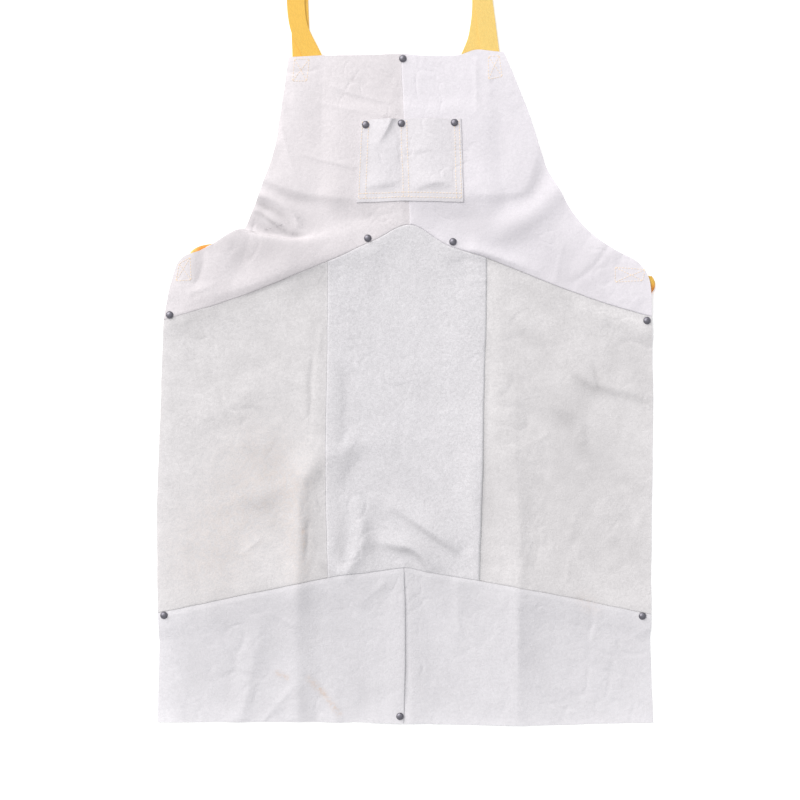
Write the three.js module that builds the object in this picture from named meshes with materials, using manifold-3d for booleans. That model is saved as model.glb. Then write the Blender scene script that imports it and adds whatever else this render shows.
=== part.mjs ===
// Leather work apron with crossed webbing straps, lying flat with its front up.
// Millimetres, +X to the apron's right as seen from above, +Y towards the neck, +Z up.
// The origin is on the surface it lies on, under the middle of the centre panel.
import * as THREE from "three";
import { mergeVertices } from "three/addons/utils/BufferGeometryUtils.js";
import Module from "manifold-3d";

const wasm = await Module();
wasm.setup();

// Sheet goods
const LEATHER = 1.5; // split leather wall
const WEBBING = 1.8; // strap wall
const STRAP_WIDTH = 25;
const CLEARANCE = 0.4; // between a sheet and what lies under it

// Turned seams: both edges roll down into a groove and lift the leather beside them
const SEAM_GAP = 1.8;
const ROLL_WIDTH = 5;
const ROLL_DROP = 1.6;
const SEAM_LIFT = 2;
const SEAM_REACH = 55;

// Rivets: a domed cap and a back plate on one stem
const CAP_RADIUS = 5.25;
const CAP_HEIGHT = 3;
const CAP_RIM = 0.8;
const STEM_RADIUS = 1.8;
const HOLE_RADIUS = 2.2;
const PLATE_RADIUS = 4.5;
const PLATE_THICKNESS = 1;
const PINCH_GAP = 0.3; // cap and plate stand this far off the leather
const RIVET_LIFT = 1.7; // leather's underside beside a rivet
const WAIST_LIFT = 2.9; // beside the waist rivets, which stand close to a strap
const FLAT_RADIUS = 20; // the leather is level this far round a rivet
const FLAT_FADE = 17;

// Pocket
const POCKET_GAP = 0.7; // between the pocket's sewn rim and the bib
const POCKET_PUFF = 6.5; // how far each half stands up
const POCKET_HALVES = [ // where each half is free to stand up, from the pocket's left edge
  { from: 13.5, to: 50.5, cells: 5 },
  { from: 63.5, to: 124.5, cells: 7 },
];
const POCKET_WIDTH = 140;
const POCKET_HEIGHT = 117;
const POCKET_ROWS = [0, 8, 18, 30, 45, 60, 75, 90, 103, 117];
const PLATEAU_LIFT = 6.3; // the straps cross under the pocket and carry the bib level there
const PLATEAU = { x: 8, y: 335, halfWidth: 98, halfHeight: 82, fade: 60 };

// Straps: the fold radius at the top and at the waist, and where each sheet of a folded strap lies
const STRAP_LOW = 0.2;
const STRAP_LAYER = 2.2;
const NECK_FOLD_RADIUS = 5.5;
const WAIST_FOLD_RADIUS = 3.2;
const CROSSING_REACH = 58;

// Seams and edges, from left to right or from hem to neck. The panels are stretches between the knots.
const SEAM = {
  waist: [
    [-338, 116],
    [-228, 147],
    [-108, 195],
    [-42, 224],
    [7, 245],
    [60, 216],
    [115, 198],
    [211, 160],
    [345, 117],
  ],
  hemTop: [
    [-346, -298],
    [-230, -274],
    [-108, -249],
    [-52, -242],
    [-1, -235],
    [31, -241],
    [105, -253],
    [228, -276],
    [344, -300],
  ],
  bibMiddle: [
    [7, 245],
    [5, 285],
    [-2, 400],
    [-6, 484],
  ],
  centreLeft: [
    [-108, -249],
    [-111, -140],
    [-111, -35],
    [-109, 70],
    [-108, 195],
  ],
  centreRight: [
    [105, -253],
    [107, -170],
    [110, -90],
    [111, 0],
    [114, 100],
    [115, 198],
  ],
  hemMiddle: [
    [-1, -452],
    [1, -380],
    [1, -310],
    [-1, -235],
  ],
};
const EDGE = {
  neckLeft: [
    [-163, 479],
    [-120, 481],
    [-60, 482],
    [-6, 484],
  ],
  neckRight: [
    [-6, 484],
    [35, 481],
    [72, 482],
    [101, 489],
    [138, 486],
  ],
  armholeLeft: [
    [-338, 116],
    [-328, 160],
    [-314, 196],
    [-283, 209],
    [-244, 219],
    [-225, 237],
    [-202, 294],
    [-183, 350],
    [-172, 415],
    [-163, 479],
  ],
  armholeRight: [
    [345, 117],
    [346, 150],
    [341, 180],
    [325, 197],
    [296, 210],
    [259, 238],
    [232, 266],
    [217, 294],
    [199, 322],
    [189, 350],
    [171, 406],
    [138, 486],
  ],
  sideLeft: [
    [-347, -451],
    [-344, -350],
    [-346, -298],
    [-347, -150],
    [-342, 0],
    [-338, 116],
  ],
  sideRight: [
    [347, -451],
    [343, -340],
    [344, -300],
    [345, -150],
    [347, -14],
    [345, 117],
  ],
  hemLeft: [
    [-347, -451],
    [-170, -450],
    [-1, -452],
  ],
  hemRight: [
    [-1, -452],
    [160, -455],
    [347, -451],
  ],
  pocketLeft: [
    [-68, 275],
    [-62, 391],
  ],
  pocketRight: [
    [82, 276],
    [78, 393],
  ],
  pocketBottom: [
    [-68, 275],
    [7, 278],
    [82, 276],
  ],
  pocketTop: [
    [-62, 391],
    [8, 393],
    [78, 393],
  ],
};

// Ridges in the lying leather: points of the crest with its height, half width, and how far the crest leans over
// to the left of its own direction, as a share of its height.
const FOLDS = [
  {
    name: "waist tuck",
    crest: [
      { x: -266, y: 222, height: 17 },
      { x: -206, y: 213, height: 15 },
      { x: -146, y: 213, height: 11 },
      { x: -92, y: 224, height: 2 },
    ],
    width: 13,
    lean: 1.2,
  },
  {
    name: "left wing",
    crest: [
      { x: -286, y: 180, height: 5 },
      { x: -225, y: 184, height: 8 },
      { x: -150, y: 196, height: 5 },
    ],
    width: 26,
    lean: 0,
  },
  {
    name: "left waist lip",
    crest: [
      { x: -215, y: 158, height: 4 },
      { x: -165, y: 176, height: 4 },
    ],
    width: 15,
    lean: 0,
  },
  {
    name: "left bib crease",
    crest: [
      { x: -206, y: 292, height: 6 },
      { x: -150, y: 276, height: 4 },
      { x: -105, y: 268, height: 1 },
    ],
    width: 14,
    lean: 0,
  },
  {
    name: "under pocket right",
    crest: [
      { x: 100, y: 294, height: 2 },
      { x: 150, y: 297, height: 5 },
      { x: 172, y: 320, height: 3 },
    ],
    width: 17,
    lean: 0,
  },
  {
    name: "right bib roll",
    crest: [
      { x: 92, y: 246, height: 3 },
      { x: 150, y: 244, height: 8 },
      { x: 189, y: 272, height: 6 },
      { x: 214, y: 297, height: 4 },
    ],
    width: 21,
    lean: 0,
  },
  {
    name: "centre hump",
    crest: [
      { x: -20, y: -221, height: 4 },
      { x: 8, y: -225, height: 6 },
    ],
    width: 17,
    lean: 0,
  },
  {
    name: "centre ridge",
    crest: [
      { x: -12, y: -178, height: 3 },
      { x: 52, y: -213, height: 5 },
    ],
    width: 16,
    lean: 0,
  },
  {
    name: "left packing fold",
    crest: [
      { x: -128, y: -80, height: 3 },
      { x: -149, y: -200, height: 5 },
      { x: -148, y: -449, height: 4 },
    ],
    width: 14,
    lean: 0,
  },
  {
    name: "right packing fold",
    crest: [
      { x: 160, y: -130, height: 2 },
      { x: 157, y: -300, height: 4 },
      { x: 158, y: -452, height: 5 },
    ],
    width: 14,
    lean: 0,
  },
  {
    name: "left skirt roll",
    crest: [
      { x: -197, y: -330, height: 2 },
      { x: -229, y: -448, height: 4 },
    ],
    width: 18,
    lean: 0,
  },
  {
    name: "right hip",
    crest: [
      { x: 262, y: 48, height: 2 },
      { x: 278, y: 18, height: 4 },
      { x: 336, y: 2, height: 3 },
    ],
    width: 18,
    lean: 0,
  },
];

// Rivets, each with the sheets that it pinches: the bib alone, or the bib and the pocket
const RIVETS = [
  { name: "rivet_neck", x: -3, y: 477, lift: RIVET_LIFT, sheets: 1 },
  { name: "rivet_pocket_left", x: -55, y: 384, lift: PLATEAU_LIFT, sheets: 2 },
  { name: "rivet_pocket_middle", x: -5, y: 386, lift: PLATEAU_LIFT, sheets: 2 },
  { name: "rivet_pocket_right", x: 69, y: 387, lift: PLATEAU_LIFT, sheets: 2 },
  { name: "rivet_waist_left", x: -52, y: 226, lift: WAIST_LIFT, sheets: 1 },
  { name: "rivet_waist_right", x: 67, y: 221, lift: WAIST_LIFT, sheets: 1 },
  { name: "rivet_hip_left", x: -329, y: 119, lift: RIVET_LIFT, sheets: 1 },
  { name: "rivet_hip_right", x: 338, y: 111, lift: RIVET_LIFT, sheets: 1 },
  { name: "rivet_hem_left", x: -337, y: -301, lift: RIVET_LIFT, sheets: 1 },
  { name: "rivet_hem_right", x: 332, y: -302, lift: RIVET_LIFT, sheets: 1 },
  { name: "rivet_hem_middle", x: -7, y: -442, lift: RIVET_LIFT, sheets: 1 },
];

// Straps. route runs under the bib from the fold above the neck edge to the fold at the far hip. neckTail and
// waistTail are the lengths folded back over it, which end under the leather where they are sewn.
const STRAPS = [
  {
    name: "strap_left",
    route: [
      [-152, 616],
      [-154, 565],
      [-149, 521],
      [-129, 480],
      [-90, 400],
      [-22, 308],
      [75, 248],
      [180, 199],
      [268, 172],
      [347, 164],
    ],
    neckFold: { nx: 0, ny: 1 },
    waistFold: { nx: 0.995, ny: -0.12 },
    neckTail: 176,
    waistTail: 62,
    over: { x: -20, y: 306 },
  },
  {
    name: "strap_right",
    route: [
      [105, 612],
      [109, 565],
      [106, 521],
      [94, 483],
      [47, 392],
      [-1, 325],
      [-62, 266],
      [-130, 221],
      [-212, 192],
      [-294, 208],
    ],
    neckFold: { nx: -0.107, ny: 0.994 },
    waistFold: { nx: -0.54, ny: 0.842 },
    neckTail: 176,
    waistTail: 46,
    over: null,
  },
];

const clamp01 = (t) => Math.min(1, Math.max(0, t));
const lerp = (a, b, t) => a + (b - a) * t;
const fade = (t) => 0.5 + 0.5 * Math.cos(Math.PI * clamp01(t)); // 1 at 0, 0 from 1 on

const spline = (points) =>
  new THREE.SplineCurve(points.map(([x, y]) => new THREE.Vector2(x, y)));

// A side of a panel: the whole curve by its length, or the stretch between two of its knots
const whole = (points) => {
  const curve = spline(points);
  return (t) => curve.getPointAt(clamp01(t));
};
const between = (points, from, to) => {
  const curve = spline(points);
  return (t) => curve.getPoint(lerp(from, to, clamp01(t)) / (points.length - 1));
};

// The point of a patch between four sides, where u runs from left to right and v from bottom to top
function coons({ left, right, bottom, top }, u, v) {
  const across = bottom(u).multiplyScalar(1 - v).addScaledVector(top(u), v);
  const up = left(v).multiplyScalar(1 - u).addScaledVector(right(v), u);
  const corners = bottom(0)
    .multiplyScalar((1 - u) * (1 - v))
    .addScaledVector(bottom(1), u * (1 - v))
    .addScaledVector(top(0), (1 - u) * v)
    .addScaledVector(top(1), u * v);
  return across.add(up).sub(corners);
}

// The nearest point of a crest line: how far away it is, its height and the line's direction there
function nearestOnCrest(crest, x, y) {
  let best = { distance: Infinity };
  for (let i = 0; i + 1 < crest.length; i++) {
    const [a, b] = [crest[i], crest[i + 1]];
    const [dx, dy] = [b.x - a.x, b.y - a.y];
    const length = Math.hypot(dx, dy);
    const t = clamp01(((x - a.x) * dx + (y - a.y) * dy) / length ** 2);
    const distance = Math.hypot(x - a.x - t * dx, y - a.y - t * dy);
    if (distance < best.distance)
      best = { distance, height: lerp(a.height, b.height, t), dx: dx / length, dy: dy / length };
  }
  return best;
}

// What the folds add at a point of the flat leather: a height and a sideways lean
function foldsAt(x, y) {
  const sum = { x: 0, y: 0, z: 0 };
  for (const { crest, width, lean } of FOLDS) {
    const near = nearestOnCrest(crest, x, y);
    const rise = near.height * Math.exp(-((near.distance / width) ** 2));
    sum.z += rise;
    sum.x -= near.dy * lean * rise;
    sum.y += near.dx * lean * rise;
  }
  return sum;
}

// Plan of a strap laid out straight past both folds, by length from the neck fold
function strapPlan({ route, neckTail, waistTail }) {
  const curve = spline(route);
  const length = curve.getLength();
  const place = (s) => {
    const t = clamp01(s / length);
    const along = curve.getTangentAt(t);
    const point = curve.getPointAt(t).addScaledVector(along, s - t * length);
    return { point, along };
  };
  return { place, length, from: -neckTail, to: length + waistTail };
}

// A point rolled over a fold line: what lies past the line goes round the fold and comes back above.
function foldOver(p, line, radius) {
  const past = (p.x - line.x) * line.nx + (p.y - line.y) * line.ny;
  if (past <= 0) return p;
  const turn = Math.min(past / radius, Math.PI);
  const back = past - turn * radius;
  const settled = lerp(2 * radius, STRAP_LAYER, 1 - fade(back / 38));
  const rise = turn < Math.PI ? radius * (1 - Math.cos(turn)) : settled;
  const reach = radius * Math.sin(turn) - back - past;
  return new THREE.Vector3(p.x + line.nx * reach, p.y + line.ny * reach, p.z + rise);
}

// Middle surface of a strap: s along it from the neck fold, t across it
function strapSurface(strap) {
  const plan = strapPlan(strap);
  const [neck, waist] = [plan.place(0).point, plan.place(plan.length).point];
  const neckLine = { x: neck.x, y: neck.y, ...strap.neckFold };
  const waistLine = { x: waist.x, y: waist.y, ...strap.waistFold };
  const surface = (s, t) => {
    const { point, along } = plan.place(s);
    const flat = new THREE.Vector3(point.x - along.y * t, point.y + along.x * t, 0);
    flat.z = STRAP_LOW + WEBBING / 2;
    if (strap.over)
      flat.z += STRAP_LAYER * fade(point.distanceTo(strap.over) / CROSSING_REACH - 0.35);
    return s < plan.length / 2
      ? foldOver(flat, neckLine, NECK_FOLD_RADIUS)
      : foldOver(flat, waistLine, WAIST_FOLD_RADIUS);
  };
  return { surface, from: plan.from, to: plan.to, folds: [0, plan.length] };
}

const strapLayers = STRAPS.map(strapSurface);

// Points down the middle of every strap, with the height of its upper face
const strapTops = strapLayers.flatMap(({ surface, from, to }) => {
  const count = Math.ceil((to - from) / 2.5);
  return Array.from({ length: count + 1 }, (_, i) => {
    const p = surface(lerp(from, to, i / count), 0);
    return { x: p.x, y: p.y, top: p.z + WEBBING / 2 + CLEARANCE };
  });
});

const STRAP_MARGIN = STRAP_WIDTH / 2 + 14;
const STRAP_FADE = 50;

// Height that the straps under the leather lift it to
function strapLift(x, y) {
  let lift = 0;
  for (const p of strapTops) {
    const distance = Math.hypot(x - p.x, y - p.y);
    lift = Math.max(lift, p.top * fade((distance - STRAP_MARGIN) / STRAP_FADE));
  }
  return lift;
}

function plateauLift(x, y) {
  const outX = Math.max(0, Math.abs(x - PLATEAU.x) - PLATEAU.halfWidth);
  const outY = Math.max(0, Math.abs(y - PLATEAU.y) - PLATEAU.halfHeight);
  return PLATEAU_LIFT * fade(Math.hypot(outX, outY) / PLATEAU.fade);
}

// How level the leather is held by the nearest rivet, from 0 to 1, and at what height
function rivetHold(x, y) {
  let hold = { share: 0, lift: 0 };
  for (const rivet of RIVETS) {
    const share = fade((Math.hypot(x - rivet.x, y - rivet.y) - FLAT_RADIUS) / FLAT_FADE);
    if (share > hold.share) hold = { share, lift: rivet.lift };
  }
  return hold;
}

// Where a point of the flat leather lies, with z at its underside. fromSeam is its distance to the nearest seam.
function lie(x, y, fromSeam) {
  const hold = rivetHold(x, y);
  const folds = foldsAt(x, y);
  const free = 1 - hold.share;
  const seam = SEAM_LIFT * fade(fromSeam / SEAM_REACH);
  const rest = Math.max(seam, strapLift(x, y), plateauLift(x, y)) + folds.z;
  const roll = ROLL_DROP * (1 - clamp01(fromSeam / ROLL_WIDTH)) ** 2;
  const z = lerp(rest - roll, hold.lift, hold.share);
  return new THREE.Vector3(x + folds.x * free, y + folds.y * free, Math.max(0, z));
}

// Grid lines from 0 to 1 over a side of a given length: bands of even cells, and a narrow cell at a sewn end
function gridLines(bands, length, sewnStart, sewnEnd) {
  const narrow = ROLL_WIDTH / length;
  const high = sewnEnd ? 1 - narrow : 1;
  let from = sewnStart ? narrow : 0;
  const lines = sewnStart ? [0, from] : [from];
  for (const { to, cells } of bands) {
    const end = Math.min(to, high);
    for (let i = 1; i <= cells; i++) lines.push(lerp(from, end, i / cells));
    from = end;
  }
  return sewnEnd ? [...lines, 1] : lines;
}

// A wall of given thickness on a middle surface, over the given grid lines
function wall(surface, uLines, vLines, thickness) {
  const [nu, nv] = [uLines.length - 1, vLines.length - 1];
  const geometry = new THREE.BoxGeometry(1, 1, 1, nu, nv, 1);
  const place = geometry.getAttribute("position");
  const small = 1e-3;
  for (let i = 0; i < place.count; i++) {
    const u = uLines[Math.round((place.getX(i) + 0.5) * nu)];
    const v = vLines[Math.round((place.getY(i) + 0.5) * nv)];
    const side = place.getZ(i) > 0 ? 0.5 : -0.5;
    const alongU = surface(u + small, v).sub(surface(u - small, v));
    const alongV = surface(u, v + small).sub(surface(u, v - small));
    const normal = alongU.cross(alongV).normalize();
    const point = surface(u, v).addScaledVector(normal, side * thickness);
    place.setXYZ(i, point.x, point.y, point.z);
  }
  geometry.deleteAttribute("normal");
  geometry.deleteAttribute("uv");
  return mergeVertices(geometry, 1e-4);
}

// A leather panel: four sides, which of them are sewn to a neighbour, and its grid
function leatherPanel({ sides, sewn, across, up }) {
  const surface = (u, v) => {
    const p = coons(sides, u, v);
    const rightward = sides.right(v).sub(sides.left(v));
    const upward = sides.top(u).sub(sides.bottom(u));
    const [width, height] = [rightward.length(), upward.length()];
    const away = [
      sewn.left ? u * width : Infinity,
      sewn.right ? (1 - u) * width : Infinity,
      sewn.bottom ? v * height : Infinity,
      sewn.top ? (1 - v) * height : Infinity,
    ];
    const inX = (sewn.left ? 1 - u : 0) - (sewn.right ? u : 0);
    const inY = (sewn.bottom ? 1 - v : 0) - (sewn.top ? v : 0);
    p.addScaledVector(rightward, (inX * SEAM_GAP) / 2 / width);
    p.addScaledVector(upward, (inY * SEAM_GAP) / 2 / height);
    const point = lie(p.x, p.y, Math.min(...away));
    point.z += LEATHER / 2;
    return point;
  };
  const width = sides.left(0.5).distanceTo(sides.right(0.5));
  const height = sides.bottom(0.5).distanceTo(sides.top(0.5));
  const uLines = gridLines(across, width, sewn.left, sewn.right);
  const vLines = gridLines(up, height, sewn.bottom, sewn.top);
  return wall(surface, uLines, vLines, LEATHER);
}

const PANELS = [
  {
    name: "bib_left",
    sides: {
      left: whole(EDGE.armholeLeft),
      right: whole(SEAM.bibMiddle),
      bottom: between(SEAM.waist, 0, 4),
      top: whole(EDGE.neckLeft),
    },
    sewn: { right: true, bottom: true },
    across: [
      { to: 0.68, cells: 17 },
      { to: 1, cells: 6 },
    ],
    up: [
      { to: 0.45, cells: 16 },
      { to: 1, cells: 9 },
    ],
  },
  {
    name: "bib_right",
    sides: {
      left: whole(SEAM.bibMiddle),
      right: whole(EDGE.armholeRight),
      bottom: between(SEAM.waist, 4, 8),
      top: whole(EDGE.neckRight),
    },
    sewn: { left: true, bottom: true },
    across: [{ to: 1, cells: 14 }],
    up: [{ to: 1, cells: 16 }],
  },
  {
    name: "side_panel_left",
    sides: {
      left: between(EDGE.sideLeft, 2, 5),
      right: whole(SEAM.centreLeft),
      bottom: between(SEAM.hemTop, 0, 2),
      top: between(SEAM.waist, 0, 2),
    },
    sewn: { right: true, bottom: true, top: true },
    across: [{ to: 1, cells: 9 }],
    up: [{ to: 1, cells: 18 }],
  },
  {
    name: "centre_panel",
    sides: {
      left: whole(SEAM.centreLeft),
      right: whole(SEAM.centreRight),
      bottom: between(SEAM.hemTop, 2, 6),
      top: between(SEAM.waist, 2, 6),
    },
    sewn: { left: true, right: true, bottom: true, top: true },
    across: [{ to: 1, cells: 8 }],
    up: [{ to: 1, cells: 18 }],
  },
  {
    name: "side_panel_right",
    sides: {
      left: whole(SEAM.centreRight),
      right: between(EDGE.sideRight, 2, 5),
      bottom: between(SEAM.hemTop, 6, 8),
      top: between(SEAM.waist, 6, 8),
    },
    sewn: { left: true, bottom: true, top: true },
    across: [{ to: 1, cells: 9 }],
    up: [{ to: 1, cells: 18 }],
  },
  {
    name: "hem_panel_left",
    sides: {
      left: between(EDGE.sideLeft, 0, 2),
      right: whole(SEAM.hemMiddle),
      bottom: whole(EDGE.hemLeft),
      top: between(SEAM.hemTop, 0, 4),
    },
    sewn: { right: true, top: true },
    across: [{ to: 1, cells: 14 }],
    up: [{ to: 1, cells: 7 }],
  },
  {
    name: "hem_panel_right",
    sides: {
      left: whole(SEAM.hemMiddle),
      right: between(EDGE.sideRight, 0, 2),
      bottom: whole(EDGE.hemRight),
      top: between(SEAM.hemTop, 4, 8),
    },
    sewn: { left: true, top: true },
    across: [{ to: 1, cells: 14 }],
    up: [{ to: 1, cells: 7 }],
  },
];

// The pocket is sewn down along its sides, its middle and its bottom, and each half puffs up to an open mouth.
function pocketGeometry() {
  const sides = {
    left: whole(EDGE.pocketLeft),
    right: whole(EDGE.pocketRight),
    bottom: whole(EDGE.pocketBottom),
    top: whole(EDGE.pocketTop),
  };
  const surface = (u, v) => {
    const p = coons(sides, u, v);
    const across = u * POCKET_WIDTH;
    const half = POCKET_HALVES.find(({ from, to }) => across > from && across < to);
    const share = half ? (across - half.from) / (half.to - half.from) : 0;
    const rim = 1 - fade((v * POCKET_HEIGHT - POCKET_ROWS[1]) / 26);
    const puff = POCKET_PUFF * Math.sin(Math.PI * share) * rim;
    const bib = lie(p.x, p.y, Infinity);
    return new THREE.Vector3(p.x, p.y, bib.z + LEATHER * 1.5 + POCKET_GAP + puff);
  };
  const inner = POCKET_HALVES.flatMap(({ from, to, cells }) =>
    Array.from({ length: cells + 1 }, (_, i) => lerp(from, to, i / cells)),
  );
  const uLines = [0, ...inner, POCKET_WIDTH].map((d) => d / POCKET_WIDTH);
  const vLines = POCKET_ROWS.map((d) => d / POCKET_HEIGHT);
  return wall(surface, uLines, vLines, LEATHER);
}

// Rivet profile from the middle of its back plate up to the top of its cap, for a given grip
function rivetGeometry(grip) {
  const SIDES = 9;
  const capFoot = grip + PINCH_GAP;
  const plateTop = -PINCH_GAP;
  const dome = Array.from({ length: 3 }, (_, i) => {
    const turn = ((i + 1) / 3) * (Math.PI / 2);
    return [CAP_RADIUS * Math.cos(turn), capFoot + lerp(CAP_RIM, CAP_HEIGHT, Math.sin(turn))];
  });
  const profile = [
    [0, plateTop - PLATE_THICKNESS],
    [PLATE_RADIUS, plateTop - PLATE_THICKNESS],
    [PLATE_RADIUS, plateTop],
    [STEM_RADIUS, plateTop],
    [STEM_RADIUS, capFoot],
    [CAP_RADIUS, capFoot],
    [CAP_RADIUS, capFoot + CAP_RIM],
    ...dome.slice(0, -1),
    [0, capFoot + CAP_HEIGHT],
  ];
  const geometry = new THREE.LatheGeometry(
    profile.map(([r, z]) => new THREE.Vector2(r, z)),
    SIDES,
  );
  return geometry.rotateX(Math.PI / 2);
}

function solidOf(geometry) {
  const bare = new THREE.BufferGeometry();
  bare.setAttribute("position", geometry.getAttribute("position"));
  bare.setIndex(geometry.getIndex());
  const merged = mergeVertices(bare, 1e-4);
  return new wasm.Manifold(
    new wasm.Mesh({
      numProp: 3,
      vertProperties: new Float32Array(merged.getAttribute("position").array),
      triVerts: new Uint32Array(merged.getIndex().array),
    }),
  );
}

function geometryOf(solid) {
  const mesh = solid.getMesh();
  const geometry = new THREE.BufferGeometry();
  geometry.setAttribute("position", new THREE.BufferAttribute(mesh.vertProperties, 3));
  geometry.setIndex(new THREE.BufferAttribute(mesh.triVerts, 1));
  geometry.computeVertexNormals();
  return geometry;
}

// Cuts the holes of the rivets that stand within the wall's outline
function punched(geometry) {
  geometry.computeBoundingBox();
  const box = geometry.boundingBox.clone().expandByScalar(HOLE_RADIUS);
  let solid = solidOf(geometry);
  for (const { x, y } of RIVETS) {
    if (!box.containsPoint(new THREE.Vector3(x, y, box.min.z))) continue;
    const drill = new THREE.CylinderGeometry(HOLE_RADIUS, HOLE_RADIUS, 60, 10);
    drill.rotateX(Math.PI / 2).translate(x, y, 0);
    solid = solid.subtract(solidOf(drill));
  }
  return geometryOf(solid);
}

const leather = new THREE.MeshStandardMaterial({ color: 0xe4e2e2, roughness: 0.95, metalness: 0 });
const webbing = new THREE.MeshStandardMaterial({ color: 0xf5b62e, roughness: 0.8, metalness: 0 });
const gunmetal = new THREE.MeshStandardMaterial({ color: 0x4b4b52, roughness: 0.35, metalness: 0.9 });

const apron = new THREE.Group();

function add(name, geometry, material) {
  const mesh = new THREE.Mesh(geometry, material);
  mesh.name = name;
  apron.add(mesh);
  return mesh;
}

for (const panel of PANELS) add(panel.name, punched(leatherPanel(panel)), leather);

add("pocket", punched(pocketGeometry()), leather);

for (const { name, x, y, lift, sheets } of RIVETS) {
  const grip = sheets * LEATHER + (sheets - 1) * POCKET_GAP;
  add(name, rivetGeometry(grip), gunmetal).position.set(x, y, lift);
}

// Grid lines along a strap, close together round its folds
function strapLines({ from, to, folds }) {
  const lines = [from];
  while (lines.at(-1) < to) {
    const here = lines.at(-1);
    const toFold = Math.min(...folds.map((fold) => Math.abs(here - fold)));
    lines.push(Math.min(to, here + (toFold < 22 ? 4 : 22)));
  }
  return lines.map((s) => (s - from) / (to - from));
}

STRAPS.forEach(({ name }, i) => {
  const strap = strapLayers[i];
  const { surface, from, to } = strap;
  const ribbon = (u, v) => surface(lerp(from, to, v), (0.5 - u) * STRAP_WIDTH);
  add(name, wall(ribbon, [0, 0.5, 1], strapLines(strap), WEBBING), webbing);
});

export default apron;
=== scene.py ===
"""A leather work apron with crossed webbing straps, lying flat with its front up.

The file is laid out as an add-on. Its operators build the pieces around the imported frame, in metres, with
+X to the apron's right as seen from above, +Y towards the neck and +Z up from the floor. The tables of the
pattern, the folds and the marks are in millimetres, which metres(), fold() and mark() turn into metres.
"""

import math
from collections import namedtuple
from functools import lru_cache

import bmesh
import bpy
import numpy as np
from bpy.props import FloatProperty, FloatVectorProperty, PointerProperty
from mathutils import Euler, Matrix, Vector, noise


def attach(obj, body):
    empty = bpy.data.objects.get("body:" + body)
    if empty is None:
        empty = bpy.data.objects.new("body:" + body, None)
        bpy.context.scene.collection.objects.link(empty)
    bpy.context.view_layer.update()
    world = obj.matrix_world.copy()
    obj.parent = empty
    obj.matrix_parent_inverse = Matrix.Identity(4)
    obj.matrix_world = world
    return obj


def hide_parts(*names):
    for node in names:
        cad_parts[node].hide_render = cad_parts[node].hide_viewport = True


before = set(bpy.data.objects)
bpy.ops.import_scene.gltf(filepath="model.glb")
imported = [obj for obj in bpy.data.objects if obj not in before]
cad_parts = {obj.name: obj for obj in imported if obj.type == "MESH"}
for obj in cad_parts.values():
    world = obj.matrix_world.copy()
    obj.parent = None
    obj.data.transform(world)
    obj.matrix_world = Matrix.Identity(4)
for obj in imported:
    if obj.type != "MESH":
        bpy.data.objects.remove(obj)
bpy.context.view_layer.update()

bl_info = {
    "name": "Leather Work Apron",
    "version": (1, 0, 0),
    "blender": (4, 5, 0),
    "location": "View3D > Sidebar > Apron",
    "description": "Builds a split leather work apron with a pocket, rivets and crossed webbing straps",
    "category": "Add Mesh",
}

# Turned seams: a proud edge rolls down over the edge of the sunk neighbour, and the allowance lifts both
SUNK_GAP = 0.0001
ROLL_RADIUS = 0.0019
ROLL_TURN = math.radians(56)
ROLL_STEPS = 5
SHOULDER = 0.0004
SHOULDER_REACH = 0.005
SEAM_LIFT = 0.002
SEAM_REACH = 0.07

# How the leather lies: level round a rivet, blended over what carries it, and leaning only away from a seam
HOLD_RADIUS = 0.009
HOLD_FADE = 0.026
LIFT_BLEND = 5
LEAN_REACH = 0.03
FAR_FROM_SEAM = 1.0

# How unevenly it lies: sizes, heights and noise layers. Crumples are sharp lines, in some patches only
LUMP_SIZE = 0.085
LUMP_HEIGHT = 0.0006
LUMP_BIAS = 0.4
LUMP_LAYER = 3.5
RIPPLES = ((0.026, 0.00040, 5.5), (0.011, 0.00015, 6.5))
WANDER = 0.0006
WANDER_SIZE = 0.024
WANDER_LAYERS = (1.5, 7.5)
CRUMPLES = ((0.034, 0.00070, 11.5), (0.019, 0.00042, 13.5))
CRUMPLE_SHARPNESS = 0.09
PATCH_SIZE = 2.3
PATCH_LAYER = 4
PATCH_CONTRAST = 2

# The straps cross under the pocket and carry the bib level there
Plateau = namedtuple("Plateau", "x y half_width half_height fade lift")
PLATEAUS = (
    Plateau(0.008, 0.341, 0.098, 0.054, 0.056, 0.0063),
    Plateau(-0.010, 0.420, 0.150, 0.090, 0.080, 0.0043),
)

# Straps: how the sheets of a folded strap lie, and how the leather rises over them
STRAP_LOW = 0.0002
STRAP_LAYER = 0.0022
STRAP_SETTLE = 0.038
NECK_FOLD_RADIUS = 0.0055
WAIST_FOLD_RADIUS = 0.0017
CROSSING_REACH = 0.058
CROSSING_LEVEL = 0.35
LOOP_ROUNDING = 0.006
WEBBING_HALF = 0.0125
STRAP_CLEARANCE = 0.0004
STRAP_MARGIN = 0.014
STRAP_FADE = 0.075
HUG_MARGIN = 0.003
HUG_FADE = 0.012

# Pocket: the sewn rim stands on the bib, and two free halves puff up to an open mouth
POCKET_GAP = 0.00012
POCKET_WIDTH = 0.145
POCKET_HEIGHT = 0.116
POCKET_RISE = 0.018
POCKET_BULGE = 0.0007
POCKET_BULGE_HEIGHT = 0.013
POCKET_BULGE_REACH = 0.016

# Sewn lines of the pocket in its own width and height, from 0 to 1
POCKET_ROWS_LEFT = ((0.018, 0.018), (0.081, 0.081))
POCKET_ROWS_MIDDLE = ((0.439, 0.400), (0.491, 0.458))
POCKET_ROWS_RIGHT = ((0.933, 0.933), (0.981, 0.981))
POCKET_ROWS_BOTTOM = (0.048, 0.104)
POCKET_ROWS_TOP = 0.985
POCKET_SEWN_MARGIN = 0.014

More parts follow.
